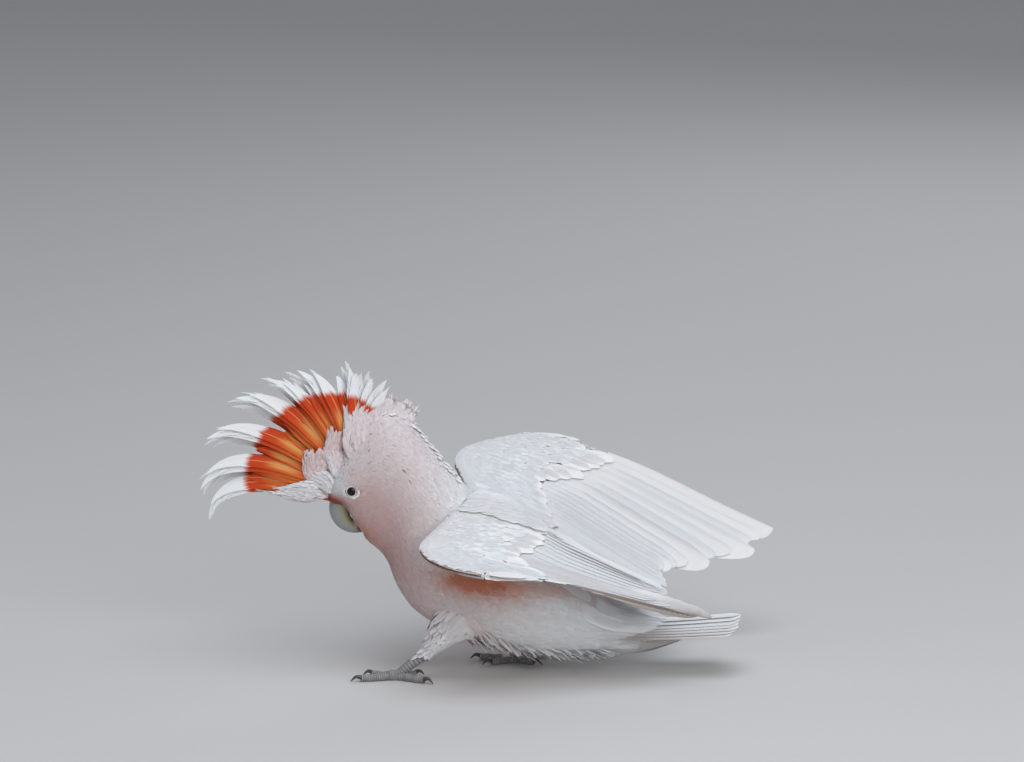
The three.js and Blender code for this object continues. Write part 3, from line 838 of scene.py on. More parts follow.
def rows_of_roots(surface, rows, pitch, seed, turn=2 * np.pi, start=0.0):
    """Roots in rows: pitch[i] millimetres apart round row i, each second row half a step on."""
    angles = start + turn * np.arange(RING_STEPS + 1) / RING_STEPS
    steps = np.linalg.norm(np.diff(surface(*parameter_grid(rows, angles)), axis=1), axis=-1)
    around = steps.sum(1)
    counts = np.maximum((around / pitch).astype(int), 3)
    row = np.repeat(np.arange(len(rows)), counts)
    place_in_row = np.arange(len(row)) - np.repeat(np.cumsum(counts) - counts, counts)
    wander = noise01(2, len(row), seed=seed) - 0.5
    step = place_in_row + 0.5 * (row % 2) + 0.55 * wander[0]
    # even steps by length, not by angle: look the angle up along the row
    share = np.concatenate([np.zeros((len(rows), 1)), np.cumsum(steps, 1)], 1)
    share /= share[:, -1:]
    want = (step / counts[row]) % 1.0
    high = np.clip((share[row] < want[:, None]).sum(1), 1, RING_STEPS)
    low_share, high_share = share[row, high - 1], share[row, high]
    f = (want - low_share) / np.maximum(high_share - low_share, 1e-9)
    spacing = np.gradient(rows)
    return rows[row] + 0.6 * wander[1] * spacing[row], angles[high - 1] + f * turn / RING_STEPS


def even_rows(pitch_at, start, end, length_at):
    """Rows from start to end so that each step is pitch_at(t) millimetres; length_at gives mm per t."""
    t = np.linspace(start, end, 400)
    rate = length_at(t) / pitch_at(t)
    passed = np.concatenate([[0], np.cumsum((rate[1:] + rate[:-1]) / 2 * np.diff(t))])
    return np.interp(np.arange(0.5, passed[-1]), passed, t)


every_4_mm = even_rows(lambda t: 4 + 0 * t, 0, 1, lambda t: 100 + 0 * t)
print("rows 4 mm apart along 100 mm:", len(every_4_mm))

# %% [markdown]
# ## How a feather is made
# A contour feather is a thin curved vane: narrow where it leaves the skin, round at its tip, bowed
# across, and lying over the roots of the feathers behind it. Hair tools would draw thousands of them
# quickly, but a feather is a surface, so each one here is a small grid of points. All the feathers of
# a tract are worked out together: `u` runs from root to tip and `s` from edge to edge, and each point
# is laid on the bird's outer form at its own distance from the root.
#
# Real plumage looks soft because light passes between the barbs. A thin mesh shades too sharply, so
# each vane's normals lean part of the way to those of the form below it.

# %% Feather template


def vane_grid(grid):
    """u from root (0) to tip (1) and s from edge (-1) to edge (1), ready to spread over many feathers."""
    return np.linspace(0, 1, grid[0])[None, :, None], np.linspace(-1, 1, grid[1])[None, None, :]


def per_feather(count, *values):
    """Each value as one number for each feather, ready to spread over its grid."""
    return [np.broadcast_to(np.asarray(value, float), (count,))[:, None, None] for value in values]


def own_normals(points):
    """Across the grid: the step along s crossed with the step along u."""
    return np.cross(np.gradient(points, axis=2), np.gradient(points, axis=1))


def feathers(points, form_normal, soft, root, spot, grid, seed):
    """What the coat needs to know of a tract. Normals go from the vane's own to the form's by soft."""
    own = unit(own_normals(points))
    sign = axis_dot(own, form_normal)
    u, s = vane_grid(grid)
    return {
        "points": points,
        "reversed": np.median(sign) < 0,
        "normals": unit(mix(own * np.sign(sign + 1e-9), form_normal, soft)),
        "root": root,
        "uv": np.stack(np.broadcast_arrays((s + 1) / 2, u), -1) * np.ones((len(points), 1, 1, 1)),
        "spot": spot,
        "tint": noise01(len(points), seed=seed + 1000),
    }


def lay(surface, p, q, length, width, turn=0.0, lift=0.0, depth=3.0, flip=1.0, grid=(6, 5), seed=1,
        rounding=0.35, rag=0.12, camber=0.1, curl=0.0, soft=0.7, bare=0.35, layer=0.9, top=0.0):
    """Feathers at (p, q) on a surface.

    Along: x = L (u - rounding u² |s|^2.2) (1 - rag n u³).  Across: y = W/2 s (bare + (1 - bare) smooth(u)).
    Height over the form:
    h = -depth (1 - u)^4 - layer (1 - u) + x tan(lift) + curl L u³ - camber W s² smooth(u) + top.
    """
    length, width, turn, lift, depth, curl, top = per_feather(
        len(p), length, width, turn, lift, depth, curl, top)
    u, s = vane_grid(grid)
    ragged = noise01(len(p), 1, grid[1], seed=seed)
    x = length * (u - rounding * u ** 2 * np.abs(s) ** 2.2) * (1 - rag * ragged * u ** 3)
    y = width / 2 * s * (bare + (1 - bare) * smooth(0, 0.6, u))
    forward, sideways = x * np.cos(turn) - y * np.sin(turn), x * np.sin(turn) + y * np.cos(turn)
    step = 1e-3
    along = np.linalg.norm(surface(p + step, q) - surface(p - step, q), axis=-1) / (2 * step)
    across = np.linalg.norm(surface(p, q + step) - surface(p, q - step), axis=-1) / (2 * step)
    p_at = p[:, None, None] + forward / np.maximum(along, 1.0)[:, None, None]
    q_at = q[:, None, None] + sideways / np.maximum(across, 4.0)[:, None, None]
    form_normal = outward(surface, p_at, q_at) * flip
    height = (-depth * (1 - u) ** 4 - layer * (1 - u) + x * np.tan(lift) + curl * length * u ** 3
              - camber * width * s ** 2 * smooth(0, 1, u) + top)
    points = surface(p_at, q_at) + form_normal * height[..., None]
    return feathers(points, form_normal, soft, surface(p, q), np.stack([p, q], -1), grid, seed)


def lit_from_above(tract, share):
    """Loose tufts let the light through, so their normals lean towards the sky: n + share x up."""
    tract["normals"] = unit(tract["normals"] + share * UPRIGHT)
    return tract


one = lay(body_surface, np.array([0.5]), np.array([1.5]), 12, 4)
print("one feather: a grid of", one["points"].shape[1:3], "points")

# %% [markdown]
# ## Joining feathers into a coat
# Thousands of objects would be slow, so the feathers of a tract are joined into one mesh. It carries
# the markings at each feather's root, a random tint, and two maps. `vane` runs over each feather, for
# the barbs. `OFBake` gives each feather its own place on a flat map of the skin, where its colour can
# be baked into an image.

# %% Coat
UV_PATCH = 0.003  # how much of the map one small feather takes


def coat(name, tracts, material, unwrap=None):
    """Joins tracts of feathers into one piece, with each face turned outwards.

    Map: a small feather is a patch 0.003 across where unwrap puts its root; without unwrap, each feather is
    a strip of its own.
    """
    total = sum(len(tract["points"]) for tract in tracts)
    points, normals, faces, vane, bake = [], [], [], [], []
    fields = {"marks": [], "tint": [], "dusk": [], "band": []}
    start, done = 0, 0
    for tract in tracts:
        count, rows, cols = tract["points"].shape[:3]
        each = rows * cols
        points.append(tract["points"].reshape(-1, 3))
        normals.append(tract["normals"].reshape(-1, 3))
        quads = grid_faces(rows, cols, count) + start
        turned = np.repeat(np.broadcast_to(tract["reversed"], (count,)), (rows - 1) * (cols - 1))
        faces.append(np.where(turned[:, None], quads[:, ::-1], quads))
        uv = tract["uv"].reshape(-1, 2)
        vane.append(uv)
        if unwrap is None:
            index = np.repeat(np.arange(count) + done, each)
            bake.append(np.stack([(index + 0.05 + 0.9 * uv[:, 0]) / total, 0.02 + 0.96 * uv[:, 1]], -1))
        else:
            bake.append(np.repeat(unwrap(tract["spot"]), each, 0) + UV_PATCH * (uv - [0.5, 0.0]))
        fields["tint"].append(np.repeat(tract["tint"], each))
        fields["marks"].append(np.repeat(tract.get("marks", markings(tract["root"])), each, 0))
        # painted shade and the crest's band are kept with each point
        for label in ("dusk", "band"):
            fields[label].append(np.broadcast_to(tract.get(label, 0.0), (count, rows, cols)).ravel())
        start += count * each
        done += count
    return make(name, np.concatenate(points), np.concatenate(faces), material,
                uvs={"OFBake": np.concatenate(bake), "vane": np.concatenate(vane)},
                attributes={label: np.concatenate(values) for label, values in fields.items()},
                normals=np.concatenate(normals))


def body_unwrap(spot):
    """The skin is cut along the back and laid flat: place along it, angle round it."""
    return np.stack([spot[:, 0], (spot[:, 1] / (2 * np.pi)) % 1.0], -1)


print("place on the map of a root on the right flank:", body_unwrap(np.array([[0.6, np.pi / 2]])))

# %% [markdown]
# ## The coat of head, neck and trunk
# Feathers are smallest at the bill and grow steadily towards the body. On the cheeks they are like
# fine combed fur. Round the eyes and the bill the skin is bare, so no feather may start or end there.

# %% Body coat
BODY_SIZES = [  # along the body: length, width, spacing along, spacing round (mm)
    [2.8, 1.2, 1.1, 1.0],  # brow
    [3.6, 1.35, 1.25, 1.1],
    [4.8, 1.55, 1.45, 1.25],  # eyes
    [7.0, 1.9, 1.8, 1.55],
    [9.5, 2.5, 2.3, 2.0],
    [12.0, 3.3, 2.8, 2.5],  # throat and nape
    [13.0, 4.0, 3.1, 2.9],
    [14.0, 4.6, 3.4, 3.2],
    [15.0, 5.0, 3.6, 3.4],
    [16.0, 5.4, 3.8, 3.6],
    [17.0, 5.6, 3.9, 3.7],
    [18.0, 5.6, 4.0, 3.7],
    [18.0, 5.0, 4.0, 3.4],  # tail
]


def size_at(t):
    """The four sizes at t, a spline through the table."""
    return spline(BODY_SIZES, t)


def middle_length(t):
    """Millimetres per unit of t along the flank."""
    side = np.full_like(t, np.pi / 2)
    return np.linalg.norm(body_surface(t + 1e-3, side) - body_surface(t - 1e-3, side), axis=-1) / 2e-3


def off_bare_parts(points):
    """True away from the bare rings round the eyes and the bill."""
    x, y, z = points[:, 0], np.abs(points[:, 1]), points[:, 2]
    from_eye = np.linalg.norm(np.stack([x, y, z], -1) - (EYE + [0, 3, 0]), axis=-1)
    bill = (x < -86) & (z < 139 - 0.2 * (x + 113)) & (y < 8.5)
    return (from_eye > 6.2) & ~bill


def body_tract(start, end, grid, seed, keep=None, stretch=1.0, **settings):
    """Feathers over the body from t = start to end, where keep(angle) is true."""
    rows = even_rows(lambda t: size_at(t)[:, 2], start, end, middle_length)
    t, angle = rows_of_roots(body_surface, rows, size_at(rows)[:, 3], seed)
    root = body_surface(t, angle)
    tip = body_surface(t + size_at(t)[:, 0] * stretch / middle_length(t), angle)
    chosen = off_bare_parts(root) & off_bare_parts(tip) & (t > start) & (t < end)
    if keep is not None:
        chosen &= keep(angle)
    t, angle = t[chosen], angle[chosen]
    length, width = size_at(t)[:, 0] * stretch, size_at(t)[:, 1]
    vary = noise01(4, len(t), seed=seed + 1)
    return lay(body_surface, t, angle, length * mix(0.85, 1.15, vary[0]), width * mix(1.0, 1.25, vary[1]),
               turn=0.22 * (vary[2] - 0.5), lift=0.015 * vary[3], depth=0.7 * coat_depth(t), grid=grid,
               seed=seed, camber=0.03, **settings)


face = body_tract(0.012, 0.30, (5, 4), 11, rag=0.2, bare=0.6, soft=0.9, layer=0.15)
neck = body_tract(0.275, 0.56, (6, 5), 12, rag=0.2, soft=0.92, layer=0.2, stretch=1.15)
upper = body_tract(0.53, 0.95, (6, 5), 13, rag=0.18, soft=0.92, layer=0.25,
                   keep=lambda angle: np.cos(angle) > 0.1)
lower = body_tract(0.53, 0.95, (7, 5), 14, rag=0.2, soft=0.92, layer=0.25, stretch=1.2,
                   keep=lambda angle: np.cos(angle) <= 0.1)
lower = lit_from_above(lower, 0.35)
# painted shade: towards the tail the underside of the belly goes dark tan
lower["dusk"] = 0.65 * smooth(0.86, 0.95, lower["spot"][:, 0])[:, None, None]
coat("coat_face", [face], FACE_FEATHER, body_unwrap)

# %% [markdown]
# ## The nape
# The bird raises the feathers along the ridge of its nape. Down the sides they lie flat again and go
# over into the coat of the neck.

# %% Nape, neck, back and belly
ROWS, ACROSS = 17, 9
column = np.tile(np.arange(ACROSS) - 4, ROWS)
vary = noise01(5, len(column), seed=18)
row = (np.arange(ROWS) + 0.3 * noise01(ROWS, seed=17)) / ROWS
t = np.repeat(mix(0.265, 0.545, row), ACROSS) + 0.006 * vary[0]
off_ridge = np.abs(column) / 4
nape = lay(body_surface, t, column * 0.13 + 0.06 * (vary[1] - 0.5), 9 * mix(0.85, 1.15, vary[2]),
           mix(6.6, 5.2, off_ridge), turn=0.25 * (vary[3] - 0.5),
           lift=mix(0.24, 0.005, smooth(0.1, 0.6, off_ridge)) * mix(0.7, 1.1, vary[4]),
           depth=coat_depth(t), grid=(7, 4), seed=19, rounding=0.32, rag=0.005, soft=0.93, camber=0.0,
           layer=0.1)
nape = lit_from_above(nape, 0.5)
coat("coat_neck", [neck, nape], FACE_FEATHER, body_unwrap)
coat("coat_back", [upper], BODY_FEATHER, body_unwrap)
coat("coat_belly", [lower], BODY_FEATHER, body_unwrap)

# %% [markdown]
# ## Long feathers
# Flight, tail and crest feathers are too long to be patches on a form. Each gets its own middle line,
# the shaft, with an upward direction at every place along it. The vane is then swept sideways from
# the shaft: wider on the side that the next feather covers, and tilted so that each lies under its
# neighbour like the slats of a blind.

# %% Long feathers


def along_lines(lines, a):
    """Places at shares a (N, U, S) of the lines (N, M, 3), straight between neighbours."""
    at = np.clip(a, 0, 1) * (lines.shape[1] - 1)
    first = np.minimum(at.astype(int), lines.shape[1] - 2)
    which = np.arange(len(lines))[:, None, None]
    return mix(lines[which, first], lines[which, first + 1], (at - first)[..., None])


def vanes(lines, ups, width, hand=1, grid=(20, 9), seed=1, outline=None, rounding=0.06, rag=0.03, tilt=0.0,
          camber=0.04, narrow=0.0, soft=0.4, spot=None):
    """Feathers along their own lines.

    Along: a = u - rounding u³ |s|^2.4 - rag n u⁴.  Across: y = W/2 o(u) (s - narrow |s|).
    Height over the line: h = y tan(tilt) - camber |y|.
    """
    count = len(lines)
    width, tilt, rag, rounding = per_feather(count, width, tilt, rag, rounding)
    u, s = vane_grid(grid)
    ragged = noise01(count, 1, grid[1], seed=seed)
    a = u - rounding * u ** 3 * np.abs(s) ** 2.4 - rag * ragged * u ** 4
    middle = along_lines(lines, a)
    ahead = unit(along_lines(lines, a + 0.02) - along_lines(lines, a - 0.02))
    up = unit(along_lines(ups, a))
    side = unit(np.cross(ahead, up)) * hand
    if outline is None:
        outline = lambda u: 0.45 + 0.55 * smooth(0, 0.3, u)
    y = width / 2 * outline(u) * (s - narrow * np.abs(s)) + 0 * a
    points = middle + side * y[..., None] + up * (y * np.tan(tilt) - camber * np.abs(y))[..., None]
    return feathers(points, up, soft, lines[:, 0], spot, grid, seed)


line = np.linspace([[0, 0, 0]], [[200, 0, 0]], 9, axis=1)
print("one long feather: a grid of", vanes(line, 0 * line + UPRIGHT, 20)["points"].shape[1:3], "points")

# %% [markdown]
# ## Flight feathers
# Thirteen inner flight feathers grow from the forearm and ten primaries from the hand. Seen from
# above, each inner feather lies over the next outer one. The hand's outermost feathers have painted
# shade along their edge, dark tan, strong on the near wing and faint on the far one.

# %% Flight feathers
FLIGHTS = 23
INNER = 13
LINE_STEPS = 40


def sheet_lines(wing, p, start, end):
    """Lines from q = start to q = end at each p, and the wing's normals along them."""
    q = mix(start[:, None], end[:, None], np.linspace(0, 1, LINE_STEPS)[None, :])
    p = p[:, None] + 0 * q
    return wing_sheet(wing)(q, p), wing_normal(wing, q, p)


def flight_tract(name, wing, seed):
    """Thirteen broad inner feathers and ten primaries, narrower towards the outermost."""
    hand = -LEGS[name]["side"]
    p = (np.arange(FLIGHTS) + 0.5) / FLIGHTS
    vary = noise01(3, FLIGHTS, seed=seed)
    primary = smooth(INNER - 1.5, INNER + 0.5, np.arange(FLIGHTS))
    start = mix(*COVERTS_REACH, p) - 0.12
    end = 0.997 - mix(0.012, 0.03, primary) * vary[0]
    outermost = smooth(FLIGHTS - 8, FLIGHTS - 1, np.arange(FLIGHTS))
    if name == "right":  # the spread hand shows three broad tips, at every third primary
        between = np.abs(np.sin(np.pi * (np.arange(FLIGHTS) - 22) / 3))
        end = end - 0.032 * primary * between
        hand_width = mix(27, 20, between)
    else:  # the folded hand is narrow
        hand_width = 12.0
    lines, ups = sheet_lines(wing, p, start, end)
    width = mix(25, hand_width, primary) * mix(0.95, 1.05, vary[1]) * mix(1, 0.8, outermost)
    tract = vanes(lines, ups, width, hand=hand, grid=(26, 11), seed=seed, rounding=mix(0.10, 0.16, primary),
                  rag=0.012, tilt=0.05 + 0.01 * (vary[2] - 0.5), camber=0.02, soft=0.85,
                  narrow=mix(0.35, 0.85, outermost)[:, None, None])
    _, s = vane_grid((26, 11))
    # painted shade: the near wing's outermost edges lie in shadow and go dark tan, the far wing's hardly
    shaded_edges = 0.95 if name == "left" else 0.10
    tract["dusk"] = shaded_edges * smooth(0.15, 0.7, outermost)[:, None, None] * smooth(-0.4, 0.5, s)
    tract["marks"] = np.tile([0.05, 0, 0], (FLIGHTS, 1))
    return tract


flight_tracts = {name: flight_tract(name, wing, 35) for name, wing in WINGS.items()}
print("flight feathers of each wing:", len(flight_tracts["left"]["points"]))

# %% [markdown]
# ## Wing coverts
# The arm is covered above and below by rows of coverts that grow longer towards the back. Those under
# the wing are deep salmon, which shows only from below, and the salmon stops short of the hand's edge.

# %% Wing coverts
COVERT_SIZES = [  # from the front edge back: length, width, spacing along (mm)
    [5.5, 4.5, 2.0],
    [8.0, 6.0, 3.0],
    [11.0, 7.5, 4.2],
    [15.0, 9.5, 6.0],
    [20.0, 11.5, 8.0],
    [26.0, 13.5, 10.0],
    [31.0, 16.0, 12.0],
]


def covert_form(wing, face):
    """The wing's upper or lower side as f(c, p), where c runs from the front edge to the coverts' ends."""
    side = wing_side(wing, face)
    return lambda c, p: side(c * mix(*COVERTS_REACH, np.clip(p, 0, 1)), p)


def wing_unwrap(spot):
    """The upper side (p from 0 to 1) and the lower side (p from 1.05) are laid flat beside each other."""
    return np.stack([0.01 + 0.465 * spot[:, 1], 0.05 + 0.9 * spot[:, 0]], -1)


CHORD = 82.0  # mm from the front edge to the coverts' ends


def covert_tract(wing, face, seed):
    """Rows of coverts on the upper (face = 1) or lower (face = -1) side, up to one line of ends."""
    form = covert_form(wing, face)
    sizes = lambda c: spline(COVERT_SIZES, np.clip(c, 0, 0.66) / 0.66)
    rows = even_rows(lambda c: sizes(c)[:, 2], 0.0, 0.70, lambda c: CHORD + 0 * c)
    c, p = rows_of_roots(form, rows, sizes(rows)[:, 1] * 0.56, seed, turn=1.012)
    p = np.clip(p, 0.004, 1.012)
    size = sizes(c)
    vary = noise01(4, len(c), seed=seed + 1)
    length = size[:, 0] * mix(0.80, 1.12, vary[0]) * (1 + 0.15 * p)
    left = (1.04 - c) * CHORD * mix(0.8, 1.15, p) * mix(0.85, 1.05, vary[3])
    length = np.minimum(length, left) * mix(1.0, 0.5, smooth(0.93, 1.0, p))
    tract = lay(form, c, p, length, size[:, 1] * mix(0.95, 1.1, vary[1]), turn=0.10 * (vary[2] - 0.5) + 0.05,
                lift=0.002 * vary[3], depth=0.6, flip=wing["side"] * face, grid=(7, 7), seed=seed, layer=0.12,
                camber=0.010, rag=0.08, soft=0.93)
    if face < 0:
        tract["spot"] = tract["spot"] + [0, 1.05]
    return tract


for name, wing in WINGS.items():
    upper = covert_tract(wing, 1, 38)
    lower = covert_tract(wing, -1, 33)
    hand_edge = smooth(0.80, 0.95, lower["spot"][:, 1:] - 1.05)
    lower["marks"] = np.clip(markings(lower["root"]) + [0.15, 0.75, 0], 0, 1) * (1 - hand_edge)
    coat(f"coverts_{name}", [upper, lower], COVERT_FEATHER, wing_unwrap)
    flights = coat(f"flight_feathers_{name}", [flight_tracts[name]], FLIGHT_FEATHER)
    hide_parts(f"wing_{name}_secondaries", f"wing_{name}_primaries")

# %% [markdown]
# ## Tail
# Twelve tail feathers are stacked in a low tent. Closed like this, only their edges and tips show.

# %% Tail
TAIL_ROOT, TAIL_TIP = np.array([88.0, 2, 37.5]), np.array([216.0, -6, 45.5])
TAIL_HALF = (17, 29)
TAIL_LEAN, TAIL_TENT = np.radians(1), np.radians(11)


def tail_sheet(chord, out):
    """Middle line + out x half width sideways, up by tan(lean - tent) on either side, less a little sag."""
    middle = mix(TAIL_ROOT, TAIL_TIP, chord[..., None])
    half = mix(*TAIL_HALF, np.clip(chord, 0, 1) ** 0.8)
    slope = TAIL_LEAN - TAIL_TENT * np.tanh(out * 6)
    rise = out * half * np.tan(slope) - 1.5 * np.sin(np.pi * chord)
    return middle + np.stack([0 * half, out * half, rise], -1)


def tail_tract(seed):
    """Twelve feathers side by side, the middle pair on top and each further pair 0.85 mm lower."""
    count = 12
    order = np.abs(np.arange(count) - (count - 1) / 2)  # 0.5 in the middle, 5.5 at the sides
    out = ((np.arange(count) + 0.5) / count * 2 - 1) * 0.80
    share = np.linspace(0, 1, LINE_STEPS)[None, :]
    end = 1.0 - 0.1 * out ** 2 - 0.012 * noise01(count, seed=seed)
    chord = share * end[:, None]
    outs = out[:, None] + 0 * share
    lines = tail_sheet(chord, outs)
    ups = outward(tail_sheet, chord, outs)
    ups = ups * np.sign(ups[..., 2:])
    lines = lines + ups * (2.0 - 0.85 * order)[:, None, None]
    tract = vanes(lines, ups, 15.5, grid=(26, 11), seed=seed, rounding=0.06, rag=0.012, camber=0.05)
    _, s = vane_grid((26, 11))
    # painted shade: the lower, outer feathers of the stack go dark tan towards their edges
    tract["dusk"] = 0.7 * smooth(0.5, 4.5, order)[:, None, None] * smooth(0.5, 1.0, np.abs(s))
    return tract


tail = coat("tail_feathers", [tail_tract(41)], FLIGHT_FEATHER)
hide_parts("tail")

# %% [markdown]
# ## Thighs
# The thighs wear short feathers down to the ankle, longer and looser behind.

# %% Thigh coat


def thigh_tract(leg, seed):
    """Rows 4.2 mm apart down the thigh, each feather shorter than those above it."""
    form = thigh_surface(leg, 1.0)
    rows = even_rows(lambda t: 4.2 + 0 * t, 0.05, 0.92, lambda t: 46 + 0 * t)
    t, angle = rows_of_roots(form, rows, 3.6 + 0 * rows, seed)
    vary = noise01(4, len(t), seed=seed + 1)
    length = mix(13, 8, t) * mix(0.85, 1.2, vary[0])
    behind = smooth(0.2, 1.0, np.cos(angle - np.pi))  # the lower, back side
    tract = lay(form, t, angle, length * (1 + 0.7 * behind), 5.0 * mix(0.8, 1.2, vary[1]),
                turn=0.3 * (vary[2] - 0.5), lift=0.01 + 0.25 * behind * vary[3],
                depth=mix(5, 1.5, smooth(0, 0.4, t)), grid=(6, 5), seed=seed, rag=0.18, soft=0.9, camber=0.03,
                layer=0.3)
    tract["marks"] = markings(tract["root"]) * [0.3, 0.12, 1]
    return lit_from_above(tract, 0.3)


for name, leg in LEGS.items():
    coat(f"coat_thigh_{name}", [thigh_tract(leg, 51)], BODY_FEATHER, body_unwrap)

# %% [markdown]
# ## Crest
# The crest is raised like a fan. Fifteen long feathers curve forwards at their tips, with shorter
# ones between them. Each is orange-red with a yellow middle and a pale shaft, and ends in white. The
# line where the red stops crosses all of them at nearly one distance from the brow, so it is worked
# out from that distance, not from each feather's own length.

# %% Lines of the crest
CREST_FRONT, CREST_BACK, CREST_CROWN = (-107, 140.5), (-86, 183), 5
CREST_AIM = [190, 184, 180, 167, 162, 150, 145, 136, 133, 129, 120, 98, 94, 85, 66]
CREST_CURL = [104, 88, 62, 54, 50, 42, 6, -30]
CREST_LENGTH = [115, 120, 117, 108, 95, 84, 67, 58]
CREST_ROWS = 3.2
CREST_FACING = np.radians(32)
FAN_CENTRE = np.array([-102.4, 0, 159.4])
RED_ENDS = [73, 75, 72, 70, 69, 69, 67, 65, 61]  # mm from the fan's centre, brow to crown


def crest_lines(f, side, cut=1.0, spread=1.0):
    """Lines whose heading is launch + turn a³, cut off at a share of their length, and their facing."""
    f, side = np.asarray(f, float), np.asarray(side, float)
    root_x = mix(CREST_FRONT[0], CREST_BACK[0], f)
    root_z = mix(CREST_FRONT[1], CREST_BACK[1], f) + CREST_CROWN * np.sin(np.pi * f)
    turn = spline(CREST_CURL, f)
    launch = spline(CREST_AIM, f) - turn / 4
    share = np.linspace(0, 1, 97)[None, :] * (cut + 0 * f)[:, None]
    heading = np.radians(launch[:, None] + turn[:, None] * share ** 3)
    ahead = np.stack([np.cos(heading), np.sin(heading)], -1)
    steps = ahead * (spline(CREST_LENGTH, f) * cut / 96)[:, None, None]
    run = np.concatenate([np.zeros((len(f), 1, 2)), np.cumsum((steps[:, 1:] + steps[:, :-1]) / 2, 1)], 1)
    y = (side * CREST_ROWS * spread)[:, None] * mix(0.4, 1.6, share)
    lines = np.stack([root_x[:, None] + run[..., 0], y, root_z[:, None] + run[..., 1]], -1)
    in_plane = np.stack([-ahead[..., 1], 0 * y, ahead[..., 0]], -1)
    across = in_plane * np.cos(CREST_FACING) + SIDEWAYS * (side * np.sin(CREST_FACING))[:, None, None]
    forward = np.stack([ahead[..., 0], 0 * y, ahead[..., 1]], -1)
    return lines, np.cross(forward, across)


def alternating(count):
    """Every other feather belongs to the left side, the rest to the right."""
    return np.where(np.arange(count) % 2, RIGHT, LEFT)


def red_ends(points):
    """The distance from the fan's centre as a share of the distance where the red stops there."""
    away = points - FAN_CENTRE
    bearing = np.degrees(np.arctan2(away[..., 2], away[..., 0])) % 360
    where = np.clip((195 - bearing) / 130, 0, 1)
    return np.hypot(away[..., 0], away[..., 2]) / spline(RED_ENDS, where)


print("longest crest feather:", max(CREST_LENGTH), "mm along its curve")

# %% [markdown]
# ## Colour of the crest feathers
# The attribute "band" holds the distance from the fan's centre, 1 where the red stops. Below that a
# feather is orange-red, darker towards the tip, with a yellow middle part way up; above it is white.

# %% Crest material


def crest_material():
    """White; inside the band, orange-red with a yellow middle, a pale shaft and fine streaks."""
    material, graph, shader = new_material("crest_feather", roughness=0.7, specular_ior_level=0.2,
                                           subsurface_weight=0.15, subsurface_scale=0.003)
    tint, band = attribute(graph, "tint"), attribute(graph, "band")
    across, along, vane = graph.map("vane")
    side = off_shaft(graph, across)
    barbs = graph.node("ShaderNodeGroup", {"Vane": vane, "Tint": tint, "Count": 60.0, "Shaft": 0.12},
                       node_tree=BARBS).outputs
    slant = graph.math("MULTIPLY_ADD", side, -1.2, graph.math("MULTIPLY", along, 2.0))
    where = graph.vector(graph.math("MULTIPLY", across, 9.0), slant, graph.math("MULTIPLY", tint, 40.0))
    streak = graph.texture("Noise", where, 1.0, Detail=3.0)
    frayed = graph.math("MULTIPLY_ADD", streak, 0.10, graph.math("ADD", band, -0.05))
    frayed = graph.math("MULTIPLY_ADD", side, 0.03, frayed)
    red = graph.ramp(frayed, 0.98, 1.06, 1.0, 0.0)
    swing = graph.math("MULTIPLY_ADD", graph.math("SUBTRACT", streak, 0.5), 1.6, side)
    middle = graph.ramp(swing, 0.15, 0.80, 1.0, 0.0)
    rise = graph.ramp(frayed, 0.38, 0.60)
    fall = graph.ramp(frayed, 0.66, 0.86, 1.0, 0.0)
    yellow = graph.math("MULTIPLY", graph.math("MULTIPLY", rise, fall), middle)
    warm = graph.mix(graph.ramp(frayed, 0.5, 0.95), rgb(0.80, 0.17, 0.035), rgb(0.68, 0.065, 0.012))
    warm = graph.mix(graph.ramp(streak, 0.30, 0.65, 0.45, 0.0), warm, rgb(0.50, 0.045, 0.010))
    warm = graph.mix(graph.math("MULTIPLY", yellow, 0.8), warm, rgb(0.86, 0.42, 0.12))
    warm = graph.mix(graph.math("MULTIPLY", barbs["Shaft"], 0.7), warm, rgb(0.86, 0.40, 0.20))
    colour = graph.scaled(graph.mix(red, rgb(0.93, 0.93, 0.94), warm),
                          graph.math("MULTIPLY_ADD", streak, 0.16, 0.91))
    finish(graph, shader, colour, barbs["Height"], 0.3, 0.0003)
    return material


CREST_FEATHER = crest_material()
print("crest feathers:", len(CREST_FEATHER.node_tree.nodes), "nodes")

# %% [markdown]
# ## The fan
# Each long feather ends in two points. Shorter feathers fill the band of red between them, and loose
# barbs stray from the white tips.

# %% Crest feathers


def crest_outline(start, power, end=0.12):
    """Narrow at the quill, full by the middle, then from start to the tip down to a share `end`."""
    return lambda u: (0.45 + 0.55 * smooth(0, 0.4, u)) * (
        1 - (1 - end) * np.clip((u - start) / (1 - start), 0, 1) ** power)


def facing_side(tract, side, share=0.7):
    """The fan takes the light as one sheet: normals n (1 - share) + share x sideways; faces agree."""
    away = SIDEWAYS * side[:, None, None, None]
    own = own_normals(tract["points"])
    tract["normals"] = unit(mix(tract["normals"], away, share))
    tract["reversed"] = np.median(axis_dot(own, tract["normals"])[..., 0], axis=(1, 2)) < 0
    tract["band"] = red_ends(tract["points"])
    return tract


MAIN = 15
f = np.arange(MAIN) / (MAIN - 1)
side = alternating(MAIN)
split = np.repeat(np.arange(MAIN), 2)
second = np.tile([0, 1], MAIN)
vary = noise01(2, len(split), seed=66)
cut = np.where(second == split % 2, 1.0, mix(0.88, 0.95, vary[0]))
lines, ups = crest_lines(f[split] + mix(-0.011, 0.011, second), side[split], cut, mix(0.95, 1.15, second))
plumes = vanes(lines, ups, mix(10.0, 12.0, vary[1]), hand=-1, grid=(44, 9), seed=61, rounding=0.0,
               outline=crest_outline(0.66, 1.5, 0.05), rag=0.01, camber=0.05)
plumes = facing_side(plumes, side[split])

